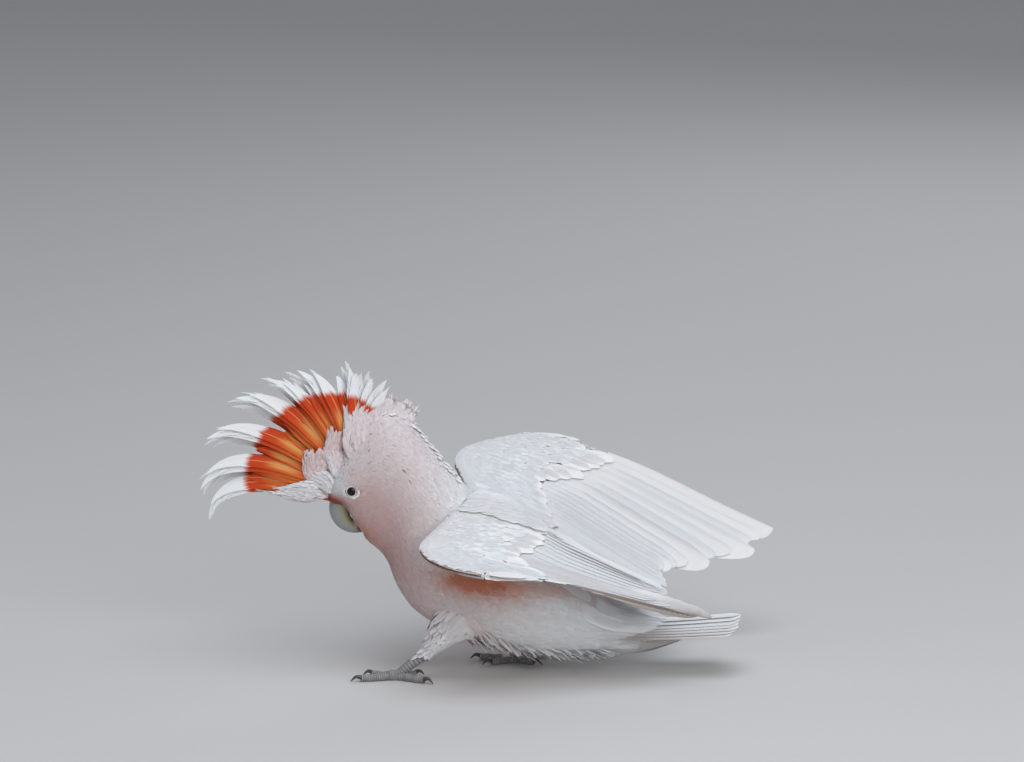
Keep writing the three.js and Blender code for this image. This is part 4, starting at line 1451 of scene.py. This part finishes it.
BETWEEN = 72
vary = noise01(5, BETWEEN, seed=62)
f = (np.arange(BETWEEN) + 0.2 + 0.6 * vary[0]) / BETWEEN * 0.97
side = alternating(BETWEEN)
cut = np.minimum(spline(RED_ENDS, f) * mix(0.80, 1.06, vary[1]) / spline(CREST_LENGTH, f), 0.95)
lines, ups = crest_lines(f, side, cut, mix(0.1, 1.0, vary[2]))
filling = vanes(lines, ups, mix(7, 11, vary[3]), hand=-1, grid=(22, 7), seed=63, rounding=0.0,
                outline=crest_outline(0.7, 1.6, 0.2), rag=0.03, camber=0.05)
filling = facing_side(filling, side)

WISPS = 5  # on each long feather
which = np.repeat(np.arange(MAIN), WISPS)
vary = noise01(5, len(which), seed=64)
main_lines, main_ups = crest_lines(np.arange(MAIN) / (MAIN - 1), alternating(MAIN))
begin = mix(0.66, 0.86, vary[0])
share = begin[:, None] + mix(0.07, 0.14, vary[1])[:, None] * np.linspace(0, 1, 13)[None, :]
middle = along_lines(main_lines[which], share[:, :, None])[:, :, 0]
facing = unit(along_lines(main_ups[which], share[:, :, None])[:, :, 0])
aside = np.cross(unit(np.gradient(middle, axis=1)), facing)
edge = crest_outline(0.6, 1.5)(begin) * 6.5
stray = np.where(vary[2] > 0.5, 1, -1)
away = stray[:, None] * (edge[:, None] * 0.6 + (1.0 + vary[3])[:, None] * np.linspace(0, 1, 13) ** 1.3)
wisps = vanes(middle + aside * away[..., None], facing, mix(1.4, 2.6, vary[4]), hand=-1, grid=(9, 3),
              seed=65, outline=lambda u: 1 - 0.9 * u ** 1.5, rounding=0.0, rag=0.0, soft=0.45)
wisps = facing_side(wisps, alternating(MAIN)[which])
fan = coat("crest_fan", [plumes, filling, wisps], CREST_FEATHER)
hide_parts("crest")

# %% [markdown]
# ## Foot of the crest, brow and ruff
# Soft tufts cover the foot of the fan: two round lobes on each side, a long wedge that sweeps forwards
# from the brow, and a ruff behind. Each tuft is many small feathers with one shape, like a tongue, so
# the tongue's form is worked out first and then grown over, just as the body is.

# %% Tufts shaped like tongues
TONGUE_SIZE = (9.0, 1.8, 1.8, 1.5)  # length, width, spacing along and round (mm)
TONGUE_TURN = 1.3 * np.pi  # how much of a tongue's girth is covered


def tongue(side, root, aim, length, half, thick, reach, bend=0.0, taper=0.35):
    """f(t, a): a flat spindle beside the fan's middle plane.

    Its line is an arc of heading aim + bend t. Across: half g(t) sin a in the plane. Outwards: y = reach
    (from first to last) + thick g(t) cos a, where g(t) = sqrt(1 - (1 - t/0.3)²) up to 0.3 and then falls.
    """

    def at(t, angle):
        lead = np.radians(aim + bend * t / 2)
        run = length * t * np.sinc(np.radians(bend * t / 2) / np.pi)
        heading = np.radians(aim + bend * t)
        inside = np.clip(t, 0, 1.0)
        swell = mix(0.55, 1.0, smooth(0, 0.4, inside)) * (1 - (1 - taper) * smooth(0.35, 1.05, inside))
        wide, out = half * swell * np.sin(angle), thick * swell * np.cos(angle)
        x = root[0] + run * np.cos(lead) - np.sin(heading) * wide
        z = root[1] + run * np.sin(lead) + np.cos(heading) * wide
        return np.stack([x, side * (mix(*reach, t) + out), z], -1)

    return at


def tongue_tract(form, side, length, seed, cell, blush, ruffle):
    """Small feathers over a tongue, pointing to its tip. cell is the tongue's own place on the map."""
    feather_length, width, along, around = TONGUE_SIZE
    rows = even_rows(lambda t: along + 0 * t, 0.0, 0.97, lambda t: length + 0 * t)
    t, angle = rows_of_roots(form, rows, around + 0 * rows, seed, turn=TONGUE_TURN, start=-TONGUE_TURN / 2)
    vary = noise01(4, len(t), seed=seed + 1)
    tract = lay(form, t, angle, feather_length * mix(0.7, 1.3, vary[0]), width * mix(0.8, 1.2, vary[1]),
                turn=0.6 * (vary[2] - 0.5), lift=ruffle * vary[3] ** 2, depth=1.2, flip=-side, grid=(6, 3),
                seed=seed, rag=0.1, rounding=0.25, bare=0.6, camber=0.0, soft=0.9, layer=0.15)
    tract = lit_from_above(tract, 0.25)
    tract["marks"] = np.clip(markings(tract["root"]) * [0.6, 0.2, 0.0] + [blush, 0, 0], 0, 1)
    spot = np.stack([t, angle / TONGUE_TURN + 0.5], -1) * 0.86 + 0.07
    tract["spot"] = (spot + [cell % 7, cell // 7]) / 7  # the map has seven rows of seven cells
    return tract


# root x and z, heading, length, half width, half thickness, how far out the root and the tip are, bend,
# taper and blush
LOBES = [
    [(-121.5, 153), 98, 23, 9.5, 2.2, (4.0, 4.8), -6, 0.80, 0.70],  # front lobe
    [(-110.5, 162), 80, 30, 9.0, 2.4, (5.0, 4.8), 4, 0.75, 0.62],  # rear lobe
    [(-112.0, 149.5), 180, 42, 6.5, 2.6, (5.5, 5.0), 0, 0.12, 0.10],  # upper brow
    [(-110.0, 145), 185, 54, 6.0, 2.6, (4.8, 5.4), -16, 0.10, 0.14],  # lower brow
    [(-102.0, 150), 150, 22, 9.0, 2.6, (9.4, 5.0), 10, 0.70, 0.16],  # between brow and front lobe
    [(-97.0, 158), 122, 22, 9.0, 2.8, (11.8, 6.0), 0, 0.70, 0.26],  # between the lobes and the eye
]
RUFF = [
    [(-89.5, 171), 97, 42, 8.5, 1.8, (16.0, 3.4), 0, 0.60, 0.26],
    [(-84.0, 175), 92, 41, 9.5, 2.0, (17.5, 2.4), 0, 0.60, 0.24],
    [(-79.0, 180), 84, 38, 9.5, 2.0, (18.5, 0.8), 0, 0.60, 0.22],
    [(-74.0, 184), 74, 35, 9.5, 2.0, (18.5, 0.2), 0, 0.60, 0.20],
    [(-69.0, 186), 64, 32, 9.5, 2.0, (18.0, 0.2), 0, 0.60, 0.16],
    [(-64.5, 188), 52, 27, 9.5, 2.0, (17.0, 0.6), 0, 0.60, 0.12],
]
for label, table, seed in (("crest_foot", LOBES, 71), ("crest_ruff", RUFF, 171)):
    tufts = []
    for n, (root, aim, length, half, thick, reach, bend, taper, blush) in enumerate(table):
        for k, side in enumerate((LEFT, RIGHT)):
            form = tongue(side, root, aim, length, half, thick, reach, bend, taper)
            tufts.append(tongue_tract(form, side, length, seed + 4 * n + k, 2 * n + k, blush=blush,
                                      ruffle=mix(0.09, 0.20, blush)))
    coat(label, tufts, FACE_FEATHER, lambda spot: spot)

# %% [markdown]
# ## Feathers at the joins
# Rows of feathers join the wings across the back. Long scapulars cover the place where each wing
# leaves it, and the upper tail coverts run out over the foot of the tail.

# %% Scapulars and upper tail coverts


def body_lines(t, angle, length_t, turn, rise):
    """Lines on the body's form that start at (t, angle), run length_t along it and turn round it."""
    share = np.linspace(0, 1, 25)[None, :]
    ts = t[:, None] + length_t[:, None] * share
    angles = angle[:, None] + turn[:, None] * share
    up = outward(body_surface, ts, angles)
    return body_surface(ts, angles) + up * (rise[:, None] * smooth(0, 0.35, share) - 1.0)[..., None], up


def spread_of(count, seed, *limits):
    """Random values for count feathers, one row within each pair of limits."""
    values = noise01(len(limits), count, seed=seed)
    return [mix(low, high, value) for (low, high), value in zip(limits, values)]


def mantle(q, w):
    """A smooth saddle from the left wing (w = 0) to the right (w = 1), as a spline across both of them."""
    a, b, c, d = (wing_side(WINGS[name], 1)(q, share + 0 * q)
                  for name, share in (("left", 0.10), ("left", 0.0), ("right", 0.0), ("right", 0.10)))
    f = w[..., None]
    return blend_between(a, b, c, d, f) + 2.0 * 4 * f * (1 - f) * UPRIGHT


joins = []
rows = even_rows(lambda q: 4.5 + 0 * q, -0.02, 0.80, lambda q: 125.0 + 0 * q)
q, w = rows_of_roots(mantle, rows, 5.0 + 0 * rows, 131, turn=1.5, start=-0.25)
vary = noise01(4, len(q), seed=132)
joins.append(lay(mantle, q, w, 19 * mix(0.85, 1.15, vary[0]), 11 * mix(0.9, 1.1, vary[1]),
                 turn=0.12 * (vary[2] - 0.5), lift=0.01 * vary[3], depth=2.5, grid=(7, 6), seed=133,
                 rag=0.10, camber=0.015, soft=0.93, layer=0.25, top=0.8))
joins[-1]["spot"] = np.stack([0.75 + 0.20 * q, 0.12 + 0.12 * w], -1)
SCAPULARS = 90  # on each side
for name, wing in WINGS.items():
    side = wing["side"]
    c, p = spread_of(SCAPULARS, 135 + side, (-0.03, 0.62), (-0.02, 0.17))
    vary = noise01(4, SCAPULARS, seed=137 + side)
    outer, inner = (1.2, 2.2) if name == "left" else (0.5, 0.8)  # height over the wing (mm)
    scapulars = lay(covert_form(wing, 1), c, p, mix(22, 28, vary[0]), mix(11, 14, vary[1]),
                    turn=0.10 * (vary[2] - 0.5), lift=0.02, depth=3.2, flip=side, grid=(8, 6),
                    seed=139 + side, rag=0.08, camber=0.015, soft=0.93, layer=0.25,
                    top=mix(outer, inner, 1 - p / 0.17))
    scapulars["spot"] = np.stack([0.75 + 0.20 * c, 0.62 + side * 0.12 + 0.5 * p], -1)
    joins.append(scapulars)
t, angle, span, turn, rise, width = spread_of(140, 141, (0.74, 0.88), (-1.3, 1.3), (0.08, 0.12), (-0.1, 0.1),
                                              (0.2, 1.6), (8, 12))
lines, ups = body_lines(t, angle, span, turn, rise)
joins.append(vanes(lines, ups, width, hand=1, grid=(10, 7), seed=143, rounding=0.22, rag=0.08, camber=0.04,
                   soft=0.8, spot=np.stack([0.02 + 0.6 * t, 0.5 + 0.15 * angle], -1)))
coat("coat_joins", joins, COVERT_FEATHER, lambda spot: spot)

# %% [markdown]
# ## Under the tail, and loose down
# The coverts under the tail are long and pointed, with painted shade that turns them dark tan towards the
# back. Loose down hangs from the belly and behind the thighs, each tuft raised by its own amount.

# %% Feathers under the tail, down
t, angle, span, turn, rise, width = spread_of(150, 151, (0.74, 0.90), (1.7, 4.6), (0.10, 0.16), (-0.08, 0.08),
                                              (0.2, 1.4), (6, 9))
span = np.minimum(span, 0.995 - t)
lines, ups = body_lines(t, angle, span, turn, rise)
under = vanes(lines, ups, width, hand=1, grid=(12, 7), seed=153, rounding=0.10, rag=0.12, camber=0.06,
              outline=lambda u: (0.5 + 0.5 * smooth(0, 0.35, u)) * (1 - 0.55 * u ** 2.5),
              spot=np.stack([t, angle], -1))
# painted shade: the coverts go dark tan towards the back, under the body
under["dusk"] = (0.75 * smooth(0.84, 0.93, t))[:, None, None]
coat("coat_under_tail", [under], BODY_FEATHER, body_unwrap)

t, angle, length, width, lift, turn = spread_of(520, 155, (0.60, 0.86), (2.35, 3.93), (11, 19), (1.8, 3.4),
                                                (0.08, 0.44), (-0.35, 0.35))
down = lay(body_surface, t, angle, length, width, turn=turn, lift=lift, depth=coat_depth(t), grid=(8, 3),
           seed=156, rounding=0.1, rag=0.2, camber=0.02, curl=0.05, soft=0.8, bare=0.8)
coat("coat_down", [lit_from_above(down, 0.5)], BODY_FEATHER, body_unwrap)

# %% [markdown]
# ## The hand's edge
# Alula feathers stand along the front edge of each hand. Under the near hand the edges of the
# outermost primaries show, stacked one below another, dark tan with painted shade.

# %% Alulas and shaded edges


def edge_lines(wing, seed, count, start, end, reach):
    """Short feathers along the hand's outer edge, from q = start to end, facing sideways."""
    vary = noise01(3, count, seed=seed)
    q0 = mix(start, end, (np.arange(count) + 0.5 * vary[0]) / count)
    share = np.linspace(0, 1, 25)[None, :]
    q = q0[:, None] + reach[:, None] * share
    p = 0.995 + 0 * q
    up = wing_normal(wing, q, p)
    row = (vary[1] - 0.5)[:, None] * arm_thickness(np.clip(q, 0.03, 1), p) * 0.7
    lines = wing_sheet(wing)(q, p) + up * row[..., None]
    ahead = unit(np.gradient(lines, axis=1))
    return lines, ahead, up


alulas = []
for name, wing in WINGS.items():
    count = 5
    lines, ahead, up = edge_lines(wing, 161, count, -0.01, 0.07, np.full(count, 0.165))
    facing = unit(np.cross(up, ahead)) * wing["side"]
    share = np.linspace(0, 1, 25)[None, :, None]
    lines = lines + facing * (0.2 + 1.0 * share ** 2) + up * (0.8 if name == "left" else 0.2)
    width = 7.5 if name == "left" else 5.0
    alulas.append(vanes(lines, unit(0.35 * facing + up), width, grid=(12, 7), seed=163, rounding=0.25,
                        rag=0.05, camber=0.04, soft=0.9))
    alulas[-1]["marks"] = np.tile([0.12, 0.0, 0.0], (count, 1))

shaded_edges = 5
lines, ahead, up = edge_lines(WINGS["left"], 165, shaded_edges, 0.40, 0.62, np.linspace(0.55, 0.36, shaded_edges))
facing = -unit(np.cross(up, ahead))
lines = lines - up * (0.5 + 0.9 * np.arange(shaded_edges))[:, None, None] - facing * 0.8
edges = vanes(lines, facing, 2.6, grid=(22, 4), seed=167, rounding=0.05, rag=0.01, camber=0.1, soft=0.5)
edges["marks"] = np.tile([0.15, 0.05, 0.0], (shaded_edges, 1))
# painted shade: each stacked edge is dark tan by its own amount
edges["dusk"] = np.array([0.9, 0.55, 1.0, 0.45, 0.9])[:, None, None]
coat("alulas", [*alulas, edges], COVERT_FEATHER)

# %% [markdown]
# ## Eyes
# The eye is a dark glossy ball, mostly hidden. Round it is a ring of bare pale skin whose inner rim
# is the lids. The side of the head is nearly a shallow bowl there, so its height is fitted with a
# quadratic through nearby points of the body's form, and the ring runs from the ball out to it.

# %% Eye ball and bare ring


def quadratic_terms(x, z):
    """1, x, z, x², x z and z², along a last axis."""
    return np.stack([x ** 0, x, z, x * x, x * z, z * z], -1)


def side_of_head():
    """Coefficients of y = a + b x + c z + d x² + e x z + f z² (x, z from the eye) for the right side."""
    t, angle = parameter_grid(np.linspace(0.05, 0.35, 80), np.linspace(0.3, 2.6, 80))
    points = body_surface(t, angle, 1.0).reshape(-1, 3) - EYE
    near = points[np.hypot(points[:, 0], points[:, 2]) < 10]
    return np.linalg.lstsq(quadratic_terms(near[:, 0], near[:, 2]), near[:, 1], rcond=None)[0]


HEAD_SIDE = side_of_head()
print("head surface beside the eye's centre: y =", (EYE[1] + HEAD_SIDE[0]).round(2))
EYE_OPENING, RING_EDGE = 3.5, 7.4  # radii of the ring's inner and outer rim


def lid_ring(side, rows=30, cols=96):
    """From the lid's inner rim, on the ball, over a round brim and out to the side of the head."""
    share, turn = parameter_grid(np.linspace(0, 1, rows), ring_angles(cols))
    radius = mix(EYE_OPENING, RING_EDGE, share) * (1 + 0.10 * np.cos(turn - 3.9) * share)
    x, z = radius * np.cos(turn), radius * np.sin(turn)
    flat = quadratic_terms(x, z) @ HEAD_SIDE
    ball = np.sqrt(np.maximum(EYE_RADIUS ** 2 - radius ** 2, 0.3))
    wrinkles = 0.10 * np.sin(3.0 * np.pi * share * 2 + 1.2 * np.sin(3 * turn)) * np.sin(np.pi * share)
    wrinkles += 0.05 * np.sin(26 * turn + 9 * share) * np.sin(np.pi * share)
    rim = 0.55 * np.exp(-((share - 0.13) / 0.10) ** 2)
    y = mix(ball + 0.02, flat - 0.1, smooth(0.0, 0.55, share)) + rim + wrinkles
    return np.stack([x, y, z], -1) * [1, side, 1] + EYE * [1, side, 1]


def eye_material():
    """Nearly black and glossy, with a faint brown cloud."""
    material, graph, shader = new_material("eye", roughness=0.12, specular_ior_level=0.3)
    depth = graph.texture("Noise", graph.place(), 400.0)
    graph.link(graph.mix(depth, rgb(0.004, 0.003, 0.003), rgb(0.010, 0.007, 0.006)),
               shader.inputs["Base Color"])
    return material


def ring_material():
    """Pale, slightly rosy bare skin, darker at the rim of the lids, with fine pits."""
    material, graph, shader = new_material("eye_ring", roughness=0.5, subsurface_weight=0.2,
                                           subsurface_scale=0.002)
    out = graph.map("ring")[0]
    pits = graph.texture("Voronoi", graph.place(), 1500.0, "Distance")
    pale = graph.mix(pits, rgb(0.86, 0.82, 0.81), rgb(0.95, 0.93, 0.92))
    dark = graph.ramp(out, 0.01, 0.07, 1.0, 0.0)
    finish(graph, shader, graph.mix(dark, pale, rgb(0.10, 0.07, 0.07)), pits, 0.5, 0.0003)
    return material


EYE_GLOSS, EYE_RING = eye_material(), ring_material()
share, turn = parameter_grid(np.linspace(0.02, np.pi - 0.02, 40), ring_angles(64))
ball = np.stack([np.sin(share) * np.cos(turn), np.cos(share), np.sin(share) * np.sin(turn)], -1)
ball *= EYE_RADIUS
for name, leg in LEGS.items():
    side = leg["side"]
    points, faces = closed_tube(ball * [1, side, 1] + EYE * [1, side, 1])
    eyeball = make(f"eyeball_{name}", points, faces, EYE_GLOSS)
    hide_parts(f"eye_{name}")
    ring = lid_ring(side)
    rows, cols = ring.shape[:2]
    quads = grid_faces(rows, cols, wrap=True)[:, ::side]
    where = np.stack(parameter_grid(np.linspace(0, 1, rows), np.linspace(0, 1, cols)), -1).reshape(-1, 2)
    make(f"eye_ring_{name}", ring.reshape(-1, 3), quads, EYE_RING, uvs={"ring": where})

# %% [markdown]
# ## Bill
# The upper bill is a strong hook: an arc that keeps its depth and then tapers, with a low ridge along
# the top and fine growth lines across it. The lower bill is a scoop that closes inside it.

# %% Bill
BILL_PIVOT, BILL_RADIUS = (-91.5, 133.5), 20
BILL_SWEEP, BILL_ROOT = (160, 292), 172
BILL_DEPTH, BILL_WIDTH = 8.5, 8.0  # half of each
# the lower bill, from its root: x and z of the middle, half depth, half width
SCOOP = np.array([[-86, 131, 6, 6.5], [-88.5, 124, 5, 6.2], [-91, 118.5, 3.2, 5], [-92.8, 115.2, 1.4, 3.4]])


def bill_surface(v, angle):
    """Ovals along an arc: angle 0 is the ridge, half a turn the palate; both taper by sqrt(1 - t^1.7)."""
    degrees = mix(*BILL_SWEEP, v)
    t = np.clip((degrees - BILL_ROOT) / (BILL_SWEEP[1] - BILL_ROOT), 0, 1)
    taper = np.sqrt(1 - 0.985 * t ** 1.7)
    depth = BILL_DEPTH * taper
    ridge = 0.35 * np.exp(-(((angle + np.pi) % (2 * np.pi) - np.pi) / 0.25) ** 2)
    lines = 0.05 * np.sin(v * 95 + 2 * np.sin(angle)) * smooth(0.1, 0.3, v)
    reach = BILL_RADIUS - 0.3 + 1.5 * t - depth + (depth + ridge + lines - 0.1) * np.cos(angle)
    side = (BILL_WIDTH * taper + lines) * np.sin(angle)
    out = np.radians(degrees)
    return np.stack([BILL_PIVOT[0] + reach * np.cos(out), side, BILL_PIVOT[1] + reach * np.sin(out)], -1)


def scoop_surface(v, angle):
    """Ovals across a spline through the middles in SCOOP, with its half depths and half widths."""
    line = spline(SCOOP[:, :2], v)
    ahead = unit(spline(SCOOP[:, :2], v + 1e-3) - spline(SCOOP[:, :2], v - 1e-3))
    deep, half = spline(SCOOP[:, 2], v) * np.cos(angle), spline(SCOOP[:, 3], v) * np.sin(angle)
    return np.stack([line[..., 0] - ahead[..., 1] * deep, half, line[..., 1] + ahead[..., 0] * deep], -1)


def horn_material():
    """Grey-white horn, blue-grey on the ridge, yellowish low on the sides, darker along the edges."""
    material, graph, shader = new_material("horn", roughness=0.38, subsurface_weight=0.15,
                                           subsurface_scale=0.002, coat_weight=0.15, coat_roughness=0.3)
    along, round_it, _ = graph.map("horn")
    cloud = graph.texture("Noise", graph.place(), 160.0, Detail=4.0)
    grow = graph.vector(graph.math("MULTIPLY", along, 60.0), round_it)
    streak = graph.texture("Noise", grow, 3.0, Detail=3.0)
    aside = graph.ramp(graph.math("ADD", round_it, graph.math("MULTIPLY", cloud, 0.25)), 0.42, 0.78)
    colour = graph.mix(aside, rgb(0.27, 0.30, 0.315), rgb(0.29, 0.26, 0.14))
    colour = graph.mix(graph.ramp(streak, 0.35, 0.75, 0.0, 0.45), colour, rgb(0.42, 0.42, 0.38))
    edge = graph.ramp(round_it, 0.78, 0.95)
    colour = graph.mix(graph.math("MULTIPLY", edge, 0.7), colour, rgb(0.10, 0.09, 0.08))
    ridge = graph.math("MULTIPLY", graph.ramp(round_it, 0.06, 0.22, 1.0, 0.0), graph.ramp(along, 0.40, 0.62))
    tip = graph.math("MAXIMUM", ridge, graph.ramp(along, 0.80, 1.0))
    colour = graph.mix(graph.math("MULTIPLY", tip, 0.75), colour, rgb(0.09, 0.08, 0.07))
    finish(graph, shader, colour, streak, 0.35, 0.0004)
    return material


HORN = horn_material()
for name, surface, node in [("bill_hook", bill_surface, "bill_upper"),
                            ("bill_scoop", scoop_surface, "bill_lower")]:
    v, angle = parameter_grid(np.linspace(0, 1, 70), ring_angles(64))
    points, faces = closed_tube(surface(v, angle))
    around = np.abs((angle + np.pi) % (2 * np.pi) - np.pi) / np.pi
    where = np.concatenate([np.stack([v, around], -1).reshape(-1, 2), [[0, 0.5], [1, 0.5]]])
    bill = make(name, points, faces, HORN, uvs={"horn": where})
    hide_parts(node)

# %% [markdown]
# ## Feet
# Shanks and toes are covered with round horny scales: broad plates over the top, small beads on the
# sides. They are real bumps on a fine tube, since they show in the outline. The claws are dark horn.

# %% Feet and claws


def scale_relief(t, angle, length, radius):
    """Rounded cells about 1.7 mm across in staggered rows: 1 - 3.4 d², d from a cell's middle."""
    rows = np.round(length / 1.7)
    around = np.round(2 * np.pi * radius / 1.9)
    row = t * rows
    column = angle / (2 * np.pi) * around + 0.5 * (np.floor(row) % 2)
    near = ((row % 1.0) - 0.5) ** 2 + ((column % 1.0) - 0.5) ** 2
    plates = ((row % 1.0) - 0.5) ** 2 * 1.6
    top = smooth(0.55, 0.85, np.cos(angle))
    return np.clip(1 - 3.4 * mix(near, plates, top), 0, 1)


def scaly_tube(surface_at, length, radius):
    """A tube raised by 0.42 mm x relief, never under the floor. Returns corners, faces and relief."""
    t, angle = parameter_grid(np.linspace(0, 1, 110), ring_angles(44))
    relief = scale_relief(t, angle, length, radius)
    points = surface_at(t, angle)
    away = unit(points - points.mean(1, keepdims=True))
    points = points + away * (0.42 * relief - 0.22)[..., None]
    points[..., 2] = np.maximum(points[..., 2], 0.0)
    corners, faces = closed_tube(points)
    return corners, faces, np.concatenate([relief.ravel(), [0.5, 0.5]])


def foot_material():
    """Grey horny scales, pale and dusty on their tops and dark in the creases."""
    material, graph, shader = new_material("foot", roughness=0.7, specular_ior_level=0.35)
    relief = attribute(graph, "relief")
    where = graph.place()
    dust = graph.texture("Noise", where, 260.0, Detail=4.0)
    grain = graph.texture("Voronoi", where, 1400.0, "Distance")
    top = graph.mix(graph.ramp(dust, 0.3, 0.7), rgb(0.27, 0.265, 0.27), rgb(0.40, 0.39, 0.385))
    colour = graph.mix(graph.ramp(relief, 0.15, 0.7), rgb(0.17, 0.16, 0.16), top)
    finish(graph, shader, colour, grain, 0.35, 0.0003)
    return material


def claw_material():
    """Dark horn with soft streaks."""
    material, graph, shader = new_material("claw", roughness=0.34, coat_weight=0.2, coat_roughness=0.3)
    streak = graph.texture("Noise", graph.place(), 300.0, Detail=3.0)
    colour = graph.mix(streak, rgb(0.025, 0.023, 0.022), rgb(0.10, 0.09, 0.085))
    finish(graph, shader, colour, streak, 0.3, 0.0003)
    return material


FOOT, CLAW_HORN = foot_material(), claw_material()
SHANK_SIZE = (36, 4.2)  # length and radius
CLAW_LENGTH, CLAW_RADIUS, CLAW_RISE = 9.5, 1.9, 4.2


def claw_surface(leg, toe):
    """A tapering tube from the toe's end, over its highest point and down to the floor."""
    points, ahead = toe_line(leg, toe)
    start = points[3] - 1.2 * ahead
    line = np.array([[*start[:2], 3.2], [*(start + ahead * CLAW_LENGTH * 0.55)[:2], CLAW_RISE],
                     [*(start + ahead * CLAW_LENGTH)[:2], 0.9]])
    return limb_surface(line, lambda t: mix(CLAW_RADIUS, 0.35, np.clip(t, 0, 1) ** 1.3))


for name, leg in LEGS.items():
    tubes = [scaly_tube(shank_surface(leg, 0.15), *SHANK_SIZE)]
    tubes += [scaly_tube(toe_surface(leg, toe, 0.12), TOES[toe][1], TOES[toe][2]) for toe in TOES]
    corners, faces = joined([tube[:2] for tube in tubes])
    make(f"foot_{name}", corners, faces, FOOT,
         attributes={"relief": np.concatenate([tube[2] for tube in tubes])})
    for toe in TOES:
        grid = parameter_grid(np.linspace(0, 1, 24), ring_angles(20))
        points, faces = closed_tube(claw_surface(leg, toe)(*grid))
        claw = make(f"claw_{name}_{toe}_horn", points, faces, CLAW_HORN)
        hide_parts(f"claw_{name}_{toe}")

# %% [markdown]
# ## Floor
# The bird stands on a plain pale floor that reaches out of view. It belongs to the stage, not to the
# bird.

# %% Floor
FLOOR_REACH = 30.0


def floor_material():
    """Pale grey with faint, slow clouds."""
    material, graph, shader = new_material("floor", roughness=0.85, specular_ior_level=0.2)
    cloud = graph.texture("Noise", graph.place(), 1.3, Detail=3.0)
    graph.link(graph.mix(cloud, rgb(0.56, 0.55, 0.54), rgb(0.59, 0.58, 0.57)), shader.inputs["Base Color"])
    return material


floor_corners = [(x * FLOOR_REACH, y * FLOOR_REACH, 0) for x, y in ((-1, -1), (1, -1), (1, 1), (-1, 1))]
floor_mesh = bpy.data.meshes.new("floor")
floor_mesh.from_pydata(floor_corners, [], [(0, 1, 2, 3)])
floor_mesh.materials.append(floor_material())
floor = bpy.data.objects.new("floor", floor_mesh)
bpy.context.scene.collection.objects.link(floor)
print("floor:", 2 * FLOOR_REACH, "m wide")

# %% [markdown]
# ## Light
# The light is soft and mostly from above, as under a cloudy sky: four round lamps that look at the
# bird's middle, and a faint blue-white backdrop.

# %% Light
BIRD_MIDDLE = (0, 0, 0.12)


def aimed(spot, back):
    """A matrix at spot whose z axis points back, x axis is level and y axis is z x x."""
    z = unit(np.array(back, float))
    x = unit(np.cross(UPRIGHT, z))
    turned = np.eye(4)
    turned[:3] = np.stack([x, np.cross(z, x), z, spot], 1)
    return Matrix(turned.tolist())


def area_light(name, spot, size, power, colour):
    """A round lamp at spot that looks at the bird. Size in metres, power in watts."""
    lamp = bpy.data.lights.new(name, "AREA")
    lamp.shape, lamp.size, lamp.energy, lamp.color = "DISK", size, power, colour
    holder = bpy.data.objects.new(name, lamp)
    holder.matrix_world = aimed(spot, np.subtract(spot, BIRD_MIDDLE))
    bpy.context.scene.collection.objects.link(holder)


area_light("sky", (0.2, -0.8, 2.6), 2.4, 46, (0.87, 0.935, 1.0))
area_light("front", (1.1, -2.3, 1.3), 1.8, 27, (1.0, 0.98, 0.96))
area_light("left", (-2.0, -1.4, 0.9), 1.4, 3, (1.0, 0.97, 0.95))
area_light("behind", (0.8, 2.2, 1.4), 1.4, 8, (0.95, 0.97, 1.0))

world = bpy.data.worlds.new("studio")
world.use_nodes = True
backdrop = world.node_tree.nodes["Background"]
backdrop.inputs["Color"].default_value = rgb(0.86, 0.90, 0.97)
backdrop.inputs["Strength"].default_value = 0.30
bpy.context.scene.world = world
bpy.context.scene.view_settings.view_transform = "Standard"  # colours as they are, not filmic
print("lamps:", ", ".join(lamp.name for lamp in bpy.data.lights))

# %% [markdown]
# ## Camera
# The camera looks from the bird's left side, a little above it, through a long lens from far off, so
# that near and far parts keep their size.

# %% Camera
CAMERA_RISE = np.radians(12)
CAMERA_REACH = 5000.0  # mm from the bird
VIEW_WIDTH = 806.3  # mm across the view at the bird
SENSOR_WIDTH = 36
LOOK_AT = np.array([33.07, 0, 235.1])
camera_data = bpy.data.cameras.new("camera")
camera_data.sensor_width = SENSOR_WIDTH
camera_data.lens = SENSOR_WIDTH * CAMERA_REACH / VIEW_WIDTH
camera_data.clip_end = 100
camera = bpy.data.objects.new("camera", camera_data)
back = np.array([0, -np.cos(CAMERA_RISE), np.sin(CAMERA_RISE)])
camera.matrix_world = aimed(place(LOOK_AT + back * CAMERA_REACH), back)
print("lens:", round(camera_data.lens), "mm")
bpy.context.scene.collection.objects.link(camera)
bpy.context.scene.camera = camera

# %% [markdown]
# ## The end
# The dressed bird must keep the solid model's size. At the end the scene is brought up to date.

# %% Scene update
bpy.context.view_layer.update()
